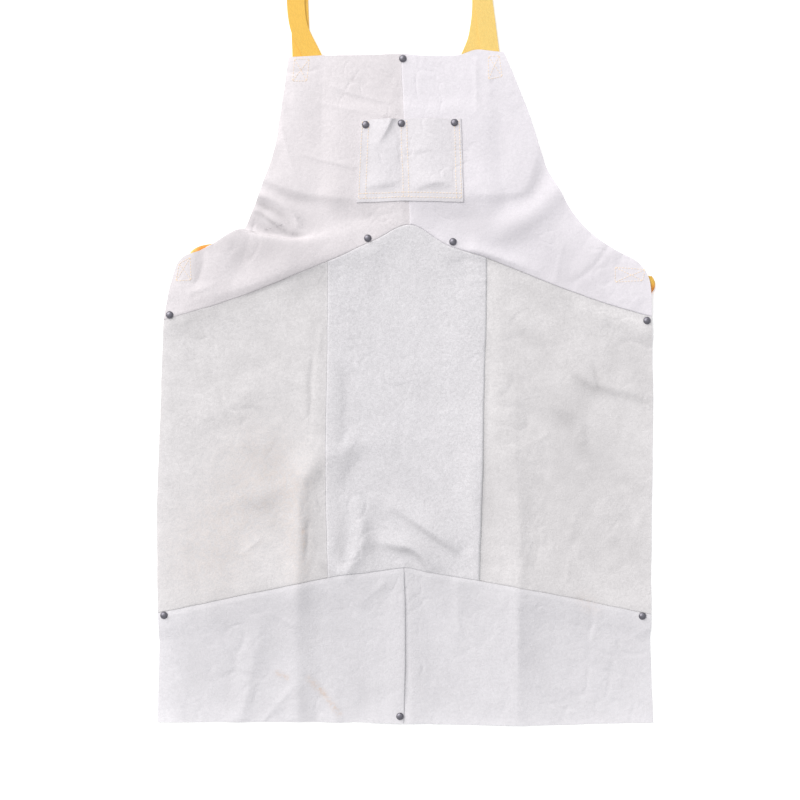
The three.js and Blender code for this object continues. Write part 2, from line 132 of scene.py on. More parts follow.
# Free halves of the pocket: the sewn rows on both sides and how high each arches
POCKET_HALVES = (
    (POCKET_ROWS_LEFT[1], POCKET_ROWS_MIDDLE[0], 0.0009),
    (POCKET_ROWS_MIDDLE[1], POCKET_ROWS_RIGHT[0], 0.0014),
)

# Bevel of a cut edge
TRIM_SEGMENTS = 2
TRIM_ANGLE = math.radians(60)

# How finely curves are followed
CURVE_SAMPLES = 1200
CREST_STEPS = 5
SIDE_SAMPLES = 60
OUTLINE_SAMPLES = 80
TINY = 1e-9

MM_IN_M = 1000


def metres(*rows):
    """Rows of millimetres as rows of metres."""
    return tuple(tuple(number / MM_IN_M for number in row) for row in rows)


# Seams and edges in plan, from left to right or from hem to neck
SEAM = {
    "waist": metres(
        (-338, 111.5), (-228, 145.5), (-108, 194), (-42, 224), (7, 245), (60, 216), (115, 198),
        (211, 159.5), (283, 133.5), (345, 116),
    ),
    "hem_top": metres(
        (-346, -298), (-230, -274), (-108, -249), (-52, -242), (-1, -235), (31, -241), (105, -253),
        (228, -276), (344, -300),
    ),
    "bib_middle": metres((7, 245), (5, 285), (-2, 400), (-6, 484)),
    "centre_left": metres((-108, -249), (-111, -140), (-111, -35), (-109, 70), (-108, 194)),
    "centre_right": metres((105, -253), (107, -170), (110, -90), (111, 0), (114, 100), (115, 198)),
    "hem_middle": metres((-1, -452), (1, -380), (1, -310), (-1, -235)),
}
EDGE = {
    "neck_left": metres((-163, 479), (-120, 481), (-60, 482), (-6, 484)),
    "neck_right": metres((-6, 484), (35, 481), (72, 482), (101, 489), (138, 486)),
    "armhole_left": metres(
        (-338, 111.5), (-328, 160), (-314, 196), (-283, 209), (-244, 219), (-225, 237), (-202, 294),
        (-183, 350), (-172, 415), (-163, 479),
    ),
    "armhole_right": metres(
        (345, 116), (344.5, 142), (342, 166), (335, 181), (321, 196), (293.5, 209.5), (256, 237),
        (232, 265.5), (217, 293), (199, 322), (189, 350), (171, 406), (138, 486),
    ),
    "side_left": metres((-347, -451), (-344, -350), (-346, -298), (-347, -150), (-342, 0), (-338, 111.5)),
    "side_right": metres((347, -451), (343, -340), (344, -300), (345, -150), (347, -14), (345, 116)),
    "hem_left": metres((-347, -451), (-170, -450), (-1, -452)),
    "hem_right": metres((-1, -452), (160, -455), (347, -451)),
    "pocket_left": metres((-68, 275), (-62, 391)),
    "pocket_right": metres((82, 276), (78, 393)),
    "pocket_bottom": metres((-68, 275), (7, 278), (82, 276)),
    "pocket_top": metres((-62, 391), (8, 393), (78, 393)),
}

# Ridges and hollows of the lying leather: the half width to the left and to the right of the crest line, how
# round it is from 1 for a sharp crease to 2 for a soft roll, points along it with their height, and how far
# it leans over to the left as a share of its height
Fold = namedtuple("Fold", "name left right round crest lean")


def fold(name, left, right, rounding, *crest, lean=0):
    """A fold from millimetres."""
    return Fold(name, left / MM_IN_M, right / MM_IN_M, rounding, metres(*crest), lean)


FOLDS = (
    fold("waist tuck", 18, 34, 2,
         (-238, 218, 9.2), (-214, 209, 9.6), (-180, 203, 9.8), (-146, 202, 8.4), (-104, 216, 4),
         (-60, 225, 1.6), lean=1.9),
    fold("left waist lip", 18, 9, 2, (-270, 146, 1.2), (-205, 165, 3), (-150, 187, 2), (-90, 208, 0.6)),
    fold("left bib upper fold", 30, 10, 1.6,
         (-196, 309, 4.6), (-150, 291, 4.6), (-100, 284, 2.8), (-70, 281, 1.2)),
    fold("left bib middle fold", 10, 9, 1.5,
         (-206, 287, 5.5), (-184, 279, 5.6), (-163, 266, 4.6), (-152, 254, 3), (-147, 238, 0.4)),
    fold("left bib lower fold", 6, 17, 1.4,
         (-211, 264, 7.2), (-187, 251.5, 6.6), (-166, 236, 3), (-152, 228, 0.3)),
    fold("under pocket right", 30, 12, 1.8, (76, 290, 1.5), (150, 290, 3.8), (171, 304, 4), (184, 348, 2)),
    fold("right bib roll", 20, 20, 2,
         (16, 240, 0.4), (80, 233, 1.4), (120, 231, 3.8), (150, 243, 5.2), (189, 270, 5.4),
         (216, 297, 4.2)),
    fold("right waist roll", 10, 6, 1.6, (60, 218, 1), (100, 208.5, 3.8), (140, 196, 3.8), (180, 180, 1.5)),
    fold("right wing fall", 40, 50, 1.5, (232, 166, 0.6), (262, 186, 1.2), (284, 214, 1)),
    fold("centre hump", 20, 8, 1.4,
         (-40, -198, 2), (-10, -203, 5.5), (14, -209, 6), (32, -228, 4), (36, -242, 1)),
    fold("centre ridge", 20, 9, 1.4, (-14, -150, 3), (30, -180, 6.2), (58, -200, 4.5), (78, -214, 0.3)),
    fold("centre left ridge", 10, 12, 1.7, (-64, -150, 1.4), (-61, -200, 3.8), (-80, -238, 3)),
    fold("centre right lip", 20, 3, 1.6,
         (103.5, -250, 0.8), (105, -170, 1.6), (108, -90, 1.6), (109.5, -10, 0.9), (112, 50, 0.2)),
    fold("crossing roll", 20, 18, 1.8,
         (-225, -143, 1.6), (-148, -108, 2.4), (-100, -74, 2.4), (-60, -62, 2), (0, -60, 0.6)),
    fold("left packing fold", 16, 17, 1.7,
         (-150, -452, 1), (-150, -425, 2.6), (-151, -300, 3.4), (-148, -190, 6.4), (-146, -130, 4.4),
         (-116, -52, 0.8)),
    fold("right packing fold", 40, 30, 1.1,
         (158, -455, 2.6), (158, -410, 4.2), (158, -360, 6.2), (158, -300, 7.8), (159, -262, 4.5),
         (160, -232, 0.5)),
    fold("right packing side", 30, 16, 1.5,
         (159, -262, 1), (160, -230, 4.2), (160, -190, 4.2), (155, -70, 2), (152, 20, 1)),
    fold("left skirt roll", 14, 18, 1.6, (-203, -318, 1.8), (-226, -430, 2.6), (-229, -450, 1.2)),
    fold("right hip", 20, 10, 1.4,
         (222, 48, 0.8), (245, 32, 2), (266, 21, 2.2), (304, 12, 1.4), (343, 1, 0.8)),
    fold("left skirt slant", 22, 18, 2, (-300, -34, 0.8), (-235, -2, 1.8), (-172, 28, 1)),
    fold("hem middle lip", 22, 3, 1.6,
         (-2.5, -452, 1.6), (-1, -380, 1.8), (-1, -300, 1.8), (-2.5, -243, 1.2)),
)
# Fine creases of the panels, and those of the pocket
CREASES = (
    fold("left bib fan line", 3, 3, 1.2,
         (-209, 262, -0.6), (-200, 258.3, -1.4), (-184, 246.8, -1.4), (-168, 235, -0.6)),
    fold("left bib packing line", 16, 9, 1.2, (-118, 340, -0.4), (-116, 400, -1), (-115, 478, -1)),
    fold("left bib upper crease", 8, 3, 1.2, (-98, 436, 0.6), (-60, 424, 1.2), (-24, 415, 0.8)),
    fold("left bib pocket crease", 5, 5, 1.2, (-112, 413, 0.5), (-60, 402, 1), (-14, 396, 0.6)),
    fold("left bib edge line", 4, 4, 1.2, (-172, 382, 0.7), (-165, 350, 0.7), (-154, 318, 0.4)),
    fold("beside pocket", 8, 3, 1.2, (-144, 342, 0.6), (-105, 332, 1.3), (-70, 324, 0.9)),
    fold("left wing dimple", 7, 7, 1.6, (-289, 204, -3.5), (-291, 186, -3.5), (-292, 166, -1.5)),
    fold("left wing short line", 4, 4, 1.2, (-300, 150, 0.8), (-268, 160, 0.8)),
    fold("right bib upper line", 4, 4, 1.4, (100, 404, 0.4), (99, 474, 0.8)),
    fold("right bib second line", 7, 7, 1.4, (118, 428, 0.6), (118, 462, 0.8)),
    fold("right wing line", 3, 3, 1.2, (220, 212, 0.6), (210, 168, 0.8)),
    fold("right wing slant", 5, 5, 1.2, (234, 164, -0.8), (262, 184, -1.5), (285, 216, -0.9)),
    fold("centre upper hollow", 24, 14, 1.8, (-80, 56, -0.6), (-80, 16, -1.8), (-82, -50, -1.4)),
    fold("centre lower hollow", 22, 13, 1.8, (-62, -76, -1), (-76, -106, -2.2), (-92, -144, -1)),
    fold("centre seam crease", 3, 3, 1.2, (91, 168, 0.6), (112, 167, 0.6)),
    fold("centre right rise", 10, 10, 1.8, (94, -90, 0.8), (96, -170, 1)),
    fold("left side wrinkle", 6, 4, 1.2,
         (-127, 68, -0.3), (-131, 44, -1.4), (-133.5, 20, -2), (-132, -2, -1.5), (-134, -30, -0.3)),
    fold("left side upper wrinkle", 4, 4, 1.2, (-118, 94, 0.8), (-121, 64, 0.5)),
    fold("left packing gash", 3.5, 3.5, 1.2, (-136, -172, -1.2), (-136, -196, -1.8), (-139, -222, -0.8)),
    fold("left side short line", 4, 3, 1.2, (-228, -216, 0.6), (-204, -196, 0.8)),
    fold("left hem zigzag", 4, 4, 1.2, (-189, -298, 0.7), (-157, -315, 1)),
    fold("left hem diagonal", 6, 6, 1.4, (-159, -404, 0.8), (-190, -440, 1), (-197, -450, 0.3)),
    fold("left hem soft roll", 11, 11, 1.8, (-106, -388, 0.5), (-97, -446, 1.4)),
    fold("left hem seam roll", 10, 10, 1.8, (-42, -402, 0.5), (-40, -446, 1.2)),
    fold("left hem upper streak", 6, 6, 1.4, (-30, -257, 1), (-60, -282, 0.4)),
    fold("left hem flick", 5, 5, 1.4, (-106, -264, 0.8), (-94, -278, 0.5)),
    fold("left hem corner lines", 7, 7, 1.5, (-318, -348, -0.5), (-297, -394, -1)),
    fold("right star branch", 4, 4, 1.2, (262, 54, -0.6), (270, 24, -1)),
    fold("right side streak", 5, 10, 1.3, (158, -71, 0.5), (196, -49, 0.9)),
    fold("right side zigzag", 12, 6, 1.4, (206, -10, 0.6), (238, -24, 1.4), (250, -66, 0.8)),
    fold("right side long line", 5, 4, 1.3, (229, -146, -0.5), (214, -196, -1)),
    fold("right side arc", 5, 4, 1.3, (268, -142, -0.4), (248, -172, -1), (234, -204, -0.5)),
    fold("right side edge line", 4, 4, 1.3, (306, -140, -0.6), (320, -166, -1)),
    fold("right side lower slant", 10, 10, 1.8, (256, -96, 0.8), (280, -138, 1)),
    fold("right side short crease", 3, 3, 1.2, (229, -227, 0.6), (227, -252, 0.8)),
    fold("right hem streak", 7, 9, 1.5, (74, -322, 0.5), (74, -254, 1)),
    fold("right hem line", 3, 3, 1.2, (271, -296, 0.5), (262, -336, 0.7)),
    fold("right hem corner line", 4, 4, 1.2, (312, -336, 0.4), (342, -318, 0.7)),
    fold("right hem scratch", 3, 3, 1.2, (24, -378, -0.4), (38, -396, -0.6)),
)
POCKET_CREASES = (
    fold("mouth crease", 4, 14, 1.4, (-18, 393, 4), (-26, 376, 3), (-36, 360, 0.6)),
    fold("lower left line", 10, 4, 1.4, (-50, 298, 0.6), (-20, 302, 0.9)),
    fold("lower right line", 12, 4, 1.4, (18, 296, 0.8), (45, 304, 1.4), (66, 298, 0.6)),
)

# Marks in the leather: the half width of a streak, and points along it with how strong it is there. The tan
# marks are stains of the hide; the other marks are painted shade along folds, creases and hollows, and a
# place with a negative strength is painted light
Mark = namedtuple("Mark", "width streak")


def mark(width, *streak):
    """A mark from millimetres, with its strengths as they are."""
    return Mark(width / MM_IN_M, tuple((x / MM_IN_M, y / MM_IN_M, strength) for x, y, strength in streak))


TAN_MARKS = (
    mark(3, (-179, -382, 0.55), (-165, -389, 0.55)),
    mark(4, (-136, -389, 0.25), (-118, -406, 0.55), (-108, -419, 0.4), (-93, -438, 0.55)),
    mark(2, (-142, -182, 0.3), (-142, -210, 0.3)),
    mark(10, (250, -280, 0.15), (262, -290, 0.15)),
    mark(60, (-270, -210, 0.15), (-200, -100, 0.16)),
    mark(20, (-160, -120, 0.12), (-150, -240, 0.12)),
)
# Painted shade along folds, creases and hollows, and painted light where the strength is negative
PAINTED_SHADE_MARKS = (
    mark(6, (-198, 300, 0.4), (-172, 291, 0.45), (-148, 282, 0.4), (-70, 277, 0.15)),
    mark(5, (-206, 275, 1.3), (-190, 268, 1.45), (-174, 259, 1.2), (-160, 245, 0.4)),
    mark(9, (-218, 246, 1.05), (-186, 236, 1.15), (-156, 230, 1), (-140, 230, 0.25)),
    mark(2.5,
         (-209, 262, 0.7), (-200, 258.3, 1.5), (-184, 246.8, 1.6), (-171, 237.6, 1.3), (-166, 232, 0.4)),
    mark(6, (-163, 235, 0.4), (-149, 228, 1.2), (-138, 232, 0.3)),
    mark(14, (-256, 204, 0.1), (-214, 200, 0.3), (-165, 197, 0.6), (-118, 204, 0.25)),
    mark(5, (-290, 203, 0.6), (-291, 188, 0.6), (-293, 172, 0.2)),
    mark(40, (-130, 330, 0.25), (-100, 305, 0.25)),
    mark(40, (130, 345, 0.16), (150, 315, 0.16)),
    mark(22, (-20, 470, 0.3), (-30, 420, 0.3)),
    mark(40, (215, 198, 0.75), (262, 186, 0.65)),
    mark(14, (225, 172, 0.4), (250, 160, 0.5)),
    mark(14, (160, 163, 0.4), (200, 150, 0.4)),
    mark(10, (250, 132, -0.4), (330, 107, -0.6)),
    mark(26, (318, 66, 0.45), (343, 24, 0.7)),
    mark(7, (224, 47, 0.3), (243, 31, 0.9), (257, 20, 1.1), (275, 16, 0.85), (306, 8, 0.5), (336, 0, 0.5)),
    mark(4, (262, 54, 0.3), (267, 36, 0.9), (271, 20, 0.8)),
    mark(13, (160, 94, 0.5), (180, 84, 0.8), (202, 78, 0.5)),
    mark(14, (208, -8, 0.5), (224, -24, 0.8), (240, -34, 0.45)),
    mark(11, (236, -52, 0.4), (246, -66, 0.7), (256, -80, 0.2)),
    mark(18, (285, -100, 0.25), (312, -112, 0.5), (335, -122, 0.45)),
    mark(18, (320, -210, 0.25), (335, -250, 0.4)),
    mark(85, (215, -20, 0.3), (235, -80, 0.65), (240, -220, 0.55)),
    mark(30, (-203, 0, 0.25), (-165, -168, 0.35)),
    mark(12, (-220, -134, 0.3), (-203, -145, 0.65), (-184, -152, 0.3)),
    mark(3, (-128, 66, 0.15), (-131, 44, 0.6), (-133.5, 20, 0.8), (-132, 0, 0.6), (-134, -26, 0.15)),
    mark(6, (-136, -120, 0.15), (-137, -160, 0.4), (-136, -214, 0.5), (-138, -238, 0.15)),
    mark(1.6, (-132, -192, 1), (-132, -193, 1)),
    mark(12, (-86, 56, 0.1), (-87, 20, 0.4), (-88, -28, 0.4), (-94, -50, 0.15)),
    mark(12, (-68, -66, 0.2), (-80, -96, 0.45), (-96, -140, 0.15)),
    mark(4.5, (-14, -155, 0.2), (22, -180, 0.7), (50, -199, 0.85), (74, -214, 0.3)),
    mark(3.5, (-26, -207, 0.4), (4, -211, 0.8), (20, -221, 0.85), (31, -240, 0.6)),
    mark(100, (-20, -20, 0.1), (-10, -190, 0.4)),
    mark(20, (-310, -340, 0.3), (-290, -380, 0.4)),
    mark(9, (-146, -410, 0.25), (-142, -430, 0.55), (-136, -448, 0.45)),
    mark(8, (-126, -394, 0.45), (-122, -402, 0.45)),
    mark(16, (-58, -400, 0.35), (-52, -440, 0.45)),
    mark(75, (-60, -300, 0.15), (-60, -400, 0.2)),
    mark(24, (28, 263, 0.65), (70, 259, 0.8), (112, 241, 1.15), (154, 241, 0.6)),
    mark(9, (118, -60, 0.2), (118, -85, 0.75), (116, -190, 0.8), (113, -245, 0.6)),
    mark(16, (292, 56, 0.5), (270, 34, 0.65), (247, 4, 0.7), (215, -34, 0.6)),
    mark(45, (-215, -300, 0.35), (-165, -312, 0.5)),
    mark(12, (-246, -365, 0.3), (-246, -425, 0.5)),
    mark(8, (-90, -150, 0.3), (-90, -205, 1.2), (-88, -225, 0.8)),
    mark(10, (-50, -180, 0.4), (-46, -205, 0.8), (-44, -222, 0.4)),
    mark(10, (-182, 350, 0.7), (-187, 326, 0.5)),
    mark(10, (-199, 278, 0.6), (-206, 256, 0.8)),
    mark(8, (-128, 108, 0.4), (-130, 92, 0.8), (-130, 78, 0.3)),
    mark(9, (-325, 106, 0.55), (-228, 138, 0.6), (-195, 152, 0.2)),
    mark(2.5, (-240, 140, 0.2), (-210, 151, 1.2), (-176, 165, 1.4), (-155, 174, 0.3)),
    mark(20, (-200, 270, 0.3), (-140, 255, 0.4), (-120, 235, 0.3)),
    mark(12, (-287, 206, 0.6), (-290, 172, 0.5)),
    mark(14, (-225, 190, 0.5), (-195, 189, 0.5)),
    mark(10, (-272, 209, 0.7), (-256, 212, 0.7)),
    mark(10, (-112, -236, 0.7), (-105, -246, 0.7)),
    mark(30, (-343, -310, -0.35), (-340, -440, -0.55)),
)

# Raw edges are rubbed paler, and painted light offsets the shade along them: how much at each side, and how
# far in
PALE_AND_LIT_EDGES = {"left": 0.12, "right": 0.05, "bottom": 0.13, "top": 0.04}
PALE_REACH = 0.022

# Rivets: where they are, and through how many sheets of leather they go
Rivet = namedtuple("Rivet", "name x y sheets")
RIVETS = tuple(Rivet(name, x / MM_IN_M, y / MM_IN_M, sheets) for name, x, y, sheets in (
    ("rivet_neck", -3, 477, 1),
    ("rivet_pocket_left", -55, 384, 2),
    ("rivet_pocket_middle", -5, 386, 2),
    ("rivet_pocket_right", 69, 387, 2),
    ("rivet_waist_left", -52, 226, 1),
    ("rivet_waist_right", 67, 221, 1),
    ("rivet_hip_left", -329, 119, 1),
    ("rivet_hip_right", 338, 111, 1),
    ("rivet_hem_left", -337, -301, 1),
    ("rivet_hem_right", 332, -302, 1),
    ("rivet_hem_middle", -7, -442, 1),
))

# Straps: the direction across the fold above the neck edge and across the fold at the far hip, the lengths
# folded back there, whether the neck tail lies under the strap, where it passes over the other one, and its
# route under the bib from fold to fold
Strap = namedtuple("Strap", "name neck_fold waist_fold neck_tail waist_tail tail_under over route")
STRAPS = (
    Strap("strap_left", (0, 1), (0.995, -0.12), 0.176, 0.062, True, (-0.020, 0.306), metres(
        (-151, 616), (-153, 565), (-148, 521), (-129, 480), (-90, 400), (-22, 308), (75, 248), (180, 199),
        (268, 170), (347.5, 160),
    )),
    Strap("strap_right", (-0.107, 0.994), (-0.44, 0.898), 0.176, 0.046, False, None, metres(
        (102.5, 612), (106.5, 565), (103.5, 521), (92, 483), (46, 392), (-1, 325), (-62, 266), (-130, 220),
        (-212, 192), (-287.5, 212.5),
    )),
)

# Boxes with a cross that sew the strap ends to the leather: corners in turn from the upper left
STITCH_BOXES = (
    metres((-154.7, 476.5), (-133.7, 476.5), (-137.2, 445.2), (-157.2, 445.2)),
    metres((116.9, 480), (131.6, 481), (135.8, 452.2), (116.2, 448)),
    metres((-315, 190.4), (-299.6, 198.5), (-298.6, 167.6), (-319.9, 166.6)),
    metres((293.6, 185.1), (335.3, 182.3), (331.5, 166.6), (293.6, 164.5)),
)


# Sizes and colours
def length_setting(name, description, default):
    return FloatProperty(name=name, description=description, default=default, unit="LENGTH")


def colour_setting(name, description, default):
    return FloatVectorProperty(name=name, description=description, default=default, subtype="COLOR")


class LeatherSettings(bpy.types.PropertyGroup):
    """Split leather of the panels and the pocket"""

    thickness: length_setting("Thickness", "Wall of the split leather", 0.0015)
    pocket_thickness: length_setting("Pocket Thickness", "Wall of the pocket", 0.0011)
    cell: length_setting("Skirt Cell", "Mesh cell of the skirt panels", 0.0022)
    bib_cell: length_setting("Bib Cell", "Mesh cell of the creased bib", 0.0018)
    pocket_cell: length_setting("Pocket Cell", "Mesh cell of the pocket", 0.0012)
    bib: colour_setting("Left Bib", "Warm leather of the left bib", (0.624, 0.592, 0.613))
    cool_bib: colour_setting("Right Bib", "Cool leather of the right bib", (0.642, 0.618, 0.656))
    pocket: colour_setting("Pocket", "Leather of the pocket", (0.622, 0.601, 0.629))
    centre: colour_setting("Centre", "Leather of the centre panel", (0.557, 0.546, 0.568))
    side: colour_setting("Sides", "Leather of the side panels", (0.560, 0.545, 0.555))
    hem: colour_setting("Hem", "Leather of the hem band", (0.562, 0.551, 0.576))
    tan: colour_setting("Tan Marks", "Marks left by the hide", (0.52, 0.36, 0.25))


class WebbingSettings(bpy.types.PropertyGroup):
    """Woven webbing of the straps"""

    width: length_setting("Width", "Width of the strap", 0.025)
    thickness: length_setting("Thickness", "Wall of the strap", 0.0018)
    rib: length_setting("Rib", "Pitch of the lengthwise ribs", 0.0021)
    left_yarn: colour_setting("Left Yarn", "Yarn of the left strap", (0.92, 0.60, 0.12))
    right_yarn: colour_setting("Right Yarn", "Paler yarn of the right strap", (0.90, 0.725, 0.26))
    # Painted shade: the colour of the yarn in the gaps of the weave
    deep_yarn: colour_setting("Deep Yarn", "Yarn in the gaps of the weave", (0.80, 0.40, 0.04))
    # Painted shade inside the folded loops at the hips
    loop: colour_setting("Loops", "Deeper colour at the loops", (0.80, 0.27, 0.03))


class RivetSettings(bpy.types.PropertyGroup):
    """Rivets through the leather"""

    cap_radius: length_setting("Cap Radius", "Radius of the domed cap", 0.00525)
    cap_height: length_setting("Cap Height", "Height of the cap over the leather", 0.0033)
    plate_radius: length_setting("Plate Radius", "Radius of the back plate", 0.0045)
    metal: colour_setting("Metal", "Dark plated metal", (0.17, 0.165, 0.19))


class ThreadSettings(bpy.types.PropertyGroup):
    """Sewing thread that shows on the front"""

    pitch: length_setting("Pitch", "Length of one stitch with its gap", 0.0043)
    width: length_setting("Width", "Width of the thread", 0.0009)
    colour: colour_setting("Thread", "Colour of the thread", (0.92, 0.75, 0.57))


class StageSettings(bpy.types.PropertyGroup):
    """Floor, light and camera"""

    view_width: length_setting("View Width", "Width of floor that the camera sees", 1.12)
    camera_height: length_setting("Camera Height", "Height of the camera over the floor", 2.6)
    floor: colour_setting("Floor", "Colour of the floor", (0.95, 0.95, 0.95))
    key_strength: FloatProperty(
        name="Key Light", description="Strength of the soft light from the upper left", default=3.8
    )
    key_softness: FloatProperty(
        name="Key Softness", description="Width of the soft light in the sky", default=math.radians(64),
        subtype="ANGLE",
    )
    sky: FloatProperty(
        name="Sky", description="Strength of the light from all round", default=0.765
    )


class ApronSettings(bpy.types.PropertyGroup):
    """All sizes and colours of the apron"""

    leather: PointerProperty(type=LeatherSettings)
    webbing: PointerProperty(type=WebbingSettings)
    rivets: PointerProperty(type=RivetSettings)
    thread: PointerProperty(type=ThreadSettings)
    stage: PointerProperty(type=StageSettings)


# Curves in plan
def smooth_curve(points, place):
    """Points of the smooth curve through the given points, by place from 0 to the last knot."""
    knots = np.asarray(points, dtype=float)
    last = len(knots) - 1
    place = np.clip(place, 0, last)
    start = np.minimum(np.floor(place).astype(int), last - 1)
    step = (place - start)[..., None]
    here, there = knots[start], knots[start + 1]
    leave = (there - knots[np.maximum(start - 1, 0)]) / 2
    arrive = (knots[np.minimum(start + 2, last)] - here) / 2
    bend = 2 * here - 2 * there + leave + arrive
    turn = 3 * there - 3 * here - 2 * leave - arrive
    return ((bend * step + turn) * step + leave) * step + here


def lengths_along(points):
    """Knot places along a curve and the length up to each of them."""
    places = np.linspace(0, len(points) - 1, CURVE_SAMPLES)
    steps = np.linalg.norm(np.diff(smooth_curve(points, places), axis=0), axis=1)
    return places, np.concatenate([[0], np.cumsum(steps)])


def whole(points):
    """Side that runs evenly along a whole curve."""
    places, lengths = lengths_along(points)
    return lambda share: smooth_curve(points, np.interp(share * lengths[-1], lengths, places))


def between(points, start, end):
    """Side that runs from one knot of a curve to another."""
    return lambda share: smooth_curve(points, start + (end - start) * share)


# Panels: four sides, the gap kept at each sewn side that rolls down, the depth and reach of each sewn side
# that is sunk, the finish of the leather and how light it is
Panel = namedtuple("Panel", "name left right bottom top proud sunk finish tone")
PANELS = (
    Panel("bib_left", whole(EDGE["armhole_left"]), whole(SEAM["bib_middle"]),
          between(SEAM["waist"], 0, 4), whole(EDGE["neck_left"]),
          {"bottom": 0.0002}, {"right": (0.0009, 0.022)}, "bib", 1.0),
    Panel("bib_right", whole(SEAM["bib_middle"]), whole(EDGE["armhole_right"]),
          between(SEAM["waist"], 4, 9), whole(EDGE["neck_right"]),
          {"left": 0.0004, "bottom": 0.0009}, {}, "cool_bib", 1.0),
    Panel("side_panel_left", between(EDGE["side_left"], 2, 5), whole(SEAM["centre_left"]),
          between(SEAM["hem_top"], 0, 2), between(SEAM["waist"], 0, 2),
          {"bottom": 0.0003}, {"right": (0.0008, 0.022), "top": (0.0008, 0.022)}, "side", 1.01),
    Panel("centre_panel", whole(SEAM["centre_left"]), whole(SEAM["centre_right"]),
          between(SEAM["hem_top"], 2, 6), between(SEAM["waist"], 2, 6),
          {"left": 0.0002, "right": 0.0008, "top": 0.0005, "bottom": 0.0003}, {}, "centre", 1.025),
    Panel("side_panel_right", whole(SEAM["centre_right"]), between(EDGE["side_right"], 2, 5),
          between(SEAM["hem_top"], 6, 8), between(SEAM["waist"], 6, 9),
          {"bottom": 0.0003}, {"left": (0.0014, 0.022), "top": (0.0008, 0.022)}, "side", 1.02),
    Panel("hem_panel_left", between(EDGE["side_left"], 0, 2), whole(SEAM["hem_middle"]),
          whole(EDGE["hem_left"]), between(SEAM["hem_top"], 0, 4),
          {"right": 0.0008}, {"top": (0.0009, 0.006)}, "hem", 1.0),
    Panel("hem_panel_right", whole(SEAM["hem_middle"]), between(EDGE["side_right"], 0, 2),
          whole(EDGE["hem_right"]), between(SEAM["hem_top"], 4, 8),
          {}, {"left": (0.0008, 0.010), "top": (0.0009, 0.006)}, "hem", 1.0),
)
POCKET = Panel("pocket", whole(EDGE["pocket_left"]), whole(EDGE["pocket_right"]),
               whole(EDGE["pocket_bottom"]), whole(EDGE["pocket_top"]), {}, {}, "pocket", 1.0)


# How the leather lies
def fade(t):
    """1 at 0 and 0 from 1 on, with a smooth run between."""
    return 0.5 + 0.5 * np.cos(np.pi * np.clip(t, 0, 1))


def mix(a, b, share):
    """a at a share of 0, b at a share of 1."""
    return a + (b - a) * share


def cloud(x, y, size, layer):
    """Smooth unevenness from about -1 to 1 with lumps of the given size."""
    return np.array([noise.noise((a / size, b / size, layer)) for a, b in zip(x, y)])


Near = namedtuple("Near", "distance height side dx dy")


def nearest_on_crest(crest, x, y):
    """Nearest points of a crest line, with their side from 1 for left of it to -1 for right of it."""
    best = Near(*(np.full(x.shape, start) for start in (np.inf, 0.0, 0.0, 0.0, 0.0)))
    for (ax, ay, az), (bx, by, bz) in zip(crest, crest[1:]):
        run = math.hypot(bx - ax, by - ay)
        ux, uy = (bx - ax) / run, (by - ay) / run
        share = np.clip(((x - ax) * ux + (y - ay) * uy) / run, 0, 1)
        away = np.hypot(x - ax - share * run * ux, y - ay - share * run * uy)
        across = ux * (y - ay) - uy * (x - ax)
        here = Near(away, mix(az, bz, share), across / np.maximum(away, TINY), ux, uy)
        best = Near(*(np.where(away < best.distance, new, old) for new, old in zip(here, best)))
    return best


@lru_cache(maxsize=None)
def fine_crest(crest):
    """Crest line with short steps along the smooth curve through its points."""
    if len(crest) == 2:
        return crest
    return smooth_curve(crest, np.linspace(0, len(crest) - 1, CREST_STEPS * (len(crest) - 1) + 1))


def folds_at(folds, x, y):
    """What the folds add at points of the flat leather: a sideways lean and a rise."""
    lean_x, lean_y, rise = np.zeros(x.shape), np.zeros(x.shape), np.zeros(x.shape)
    for ridge in folds:
        near = nearest_on_crest(fine_crest(ridge.crest), x, y)
        width = mix(ridge.right, ridge.left, 0.5 + 0.5 * near.side)
        lift = near.height * np.exp(-((near.distance / width) ** ridge.round))
        rise += lift
        lean_x -= near.dy * ridge.lean * lift
        lean_y += near.dx * ridge.lean * lift
    return lean_x, lean_y, rise


def settle(back, radius):
    """Height of the upper layer over a fold by the distance from it."""
    return mix(2 * radius, STRAP_LAYER, 1 - fade(back / STRAP_SETTLE))


def fold_over(place, anchor, normal, radius, early):
    """Points rolled over a fold line, some of them early: what lies past it comes back above."""
    past = (place[:, 0] - anchor[0]) * normal[0] + (place[:, 1] - anchor[1]) * normal[1] + early
    past = np.maximum(past, 0)
    turn = np.minimum(past / radius, np.pi)
    back = past - turn * radius
    rise = np.where(turn < np.pi, radius * (1 - np.cos(turn)), settle(back, radius))
    reach = radius * np.sin(turn) - back - past
    return place + np.stack([normal[0] * reach, normal[1] * reach, rise], axis=1)


